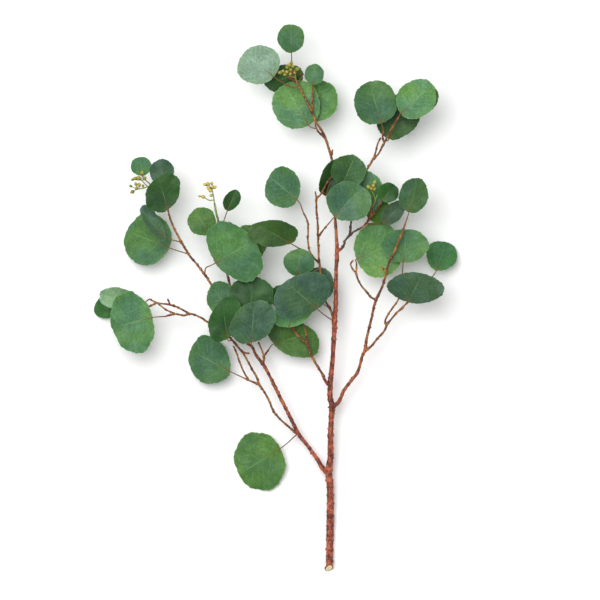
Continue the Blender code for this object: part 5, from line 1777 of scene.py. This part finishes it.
class Finishes:
    """Every material of the branch, each made once."""

    def __init__(self) -> None:
        """Make the shared effects, then the materials that more than one piece uses."""
        self.veins = Effects().make_veins()
        self.mottle = Effects().make_mottle()
        self.leaves: dict[Tone, Material] = {}
        self.petiole = StalkFinish((120, 62, 34), (104, 74, 32), (104, 140, 76)).make("leaf_stalk")
        self.bud_stalk = StalkFinish((124, 130, 42), (122, 150, 44), (142, 154, 50)).make("bud_stalk")
        self.bark = BarkFinish().make("bark")
        self.cut_wood = CutWoodFinish().make("cut_wood")
        self.bud = BudFinish().make("bud")

    def leaf(self, tone: Tone) -> Material:
        """Return the material of a tone of leaf, making it when first asked for.

        Args:
            tone: the tone.
        Returns:
            The material.
        """
        if tone not in self.leaves:
            self.leaves[tone] = LEAF_FINISHES[tone].make("leaf_" + tone.value, self.veins, self.mottle)
        return self.leaves[tone]


# Studio


@dataclass(frozen=True)
class Studio:
    """The pale floor, the soft light and the camera that looks straight down like the photo's."""

    floor_side: float = 60.0
    floor_drop: float = 0.0004
    floor_grey: float = 0.96
    floor_roughness: float = 0.95
    floor_specular: float = 0.1
    sky_strength: float = 0.55
    light_energy: float = 75.0
    light_side: float = 2.4
    light_spot: tuple = (-0.7, 0.8, 2.7)
    lens: float = 400.0
    sensor: float = 36.0
    clip_end: float = 200.0
    focus_height_mm: float = 35.0

    def add_floor(self) -> None:
        """Add the pale floor just under the branch."""
        half = self.floor_side / 2
        mesh = bpy.data.meshes.new("floor")
        corners = [(-half, -half, 0.0), (half, -half, 0.0), (half, half, 0.0), (-half, half, 0.0)]
        mesh.from_pydata(corners, [], [(0, 1, 2, 3)])
        material = bpy.data.materials.new("floor_paper")
        material.use_nodes = True
        paper = material.node_tree.nodes["Principled BSDF"]
        paper.inputs["Base Color"].default_value = (self.floor_grey, self.floor_grey, self.floor_grey, 1.0)
        paper.inputs["Roughness"].default_value = self.floor_roughness
        paper.inputs["Specular IOR Level"].default_value = self.floor_specular
        mesh.materials.append(material)
        floor = bpy.data.objects.new("floor", mesh)
        floor.location.z = -self.floor_drop
        bpy.context.scene.collection.objects.link(floor)

    def add_light(self) -> None:
        """Add the even sky and one large soft lamp that faces the middle of the branch."""
        world = bpy.data.worlds.new("soft_sky")
        world.use_nodes = True
        back = world.node_tree.nodes["Background"]
        back.inputs["Color"].default_value = (1.0, 1.0, 1.0, 1.0)
        back.inputs["Strength"].default_value = self.sky_strength
        bpy.context.scene.world = world
        lamp = bpy.data.lights.new("soft_lamp", "AREA")
        lamp.shape = "DISK"
        lamp.size = self.light_side
        lamp.energy = self.light_energy
        holder = bpy.data.objects.new("soft_lamp", lamp)
        x, y, z = holder.location = self.light_spot
        holder.rotation_euler = (math.atan2(math.hypot(x, y), z), 0.0, math.atan2(y, x) + math.pi / 2)
        bpy.context.scene.collection.objects.link(holder)

    def add_camera(self) -> None:
        """Add the camera over the middle of the photo, at the distance where the frame covers the photo's side.

        distance = lens * covered width / sensor width, over the middle height of the branch.
        """
        camera = bpy.data.cameras.new("camera")
        camera.lens = self.lens
        camera.sensor_width = self.sensor
        camera.clip_end = self.clip_end
        holder = bpy.data.objects.new("camera", camera)
        middle = place((PHOTO_SIDE / 2, PHOTO_SIDE / 2, self.focus_height_mm))[0] * MM
        distance = self.lens * PHOTO_SIDE * PIXEL * MM / self.sensor
        holder.location = (middle[0], middle[1], middle[2] + distance)
        bpy.context.scene.collection.objects.link(holder)
        bpy.context.scene.camera = holder

    def build(self) -> None:
        """Build the studio and set the plain view."""
        self.add_floor()
        self.add_light()
        self.add_camera()
        bpy.context.scene.view_settings.view_transform = "Standard"


def main() -> None:
    """Build the branch and its studio."""
    logging.basicConfig(level=logging.INFO, format="%(name)s: %(message)s")
    finishes = Finishes()
    lines = [smooth_path(place(np.array(table, dtype=float)[:, :3]), 1.0)[0] for _, table in STEMS]
    StemPiece().build(finishes)
    for leaf in LEAVES:
        LeafPiece(leaf).build(lines, finishes)
    for name, stalks, buds in BUD_CLUSTERS:
        BudPiece(name, stalks, buds, BUD_RIPENESS[name]).build(finishes)
    Studio().build()


if __name__ == "__main__":
    main()
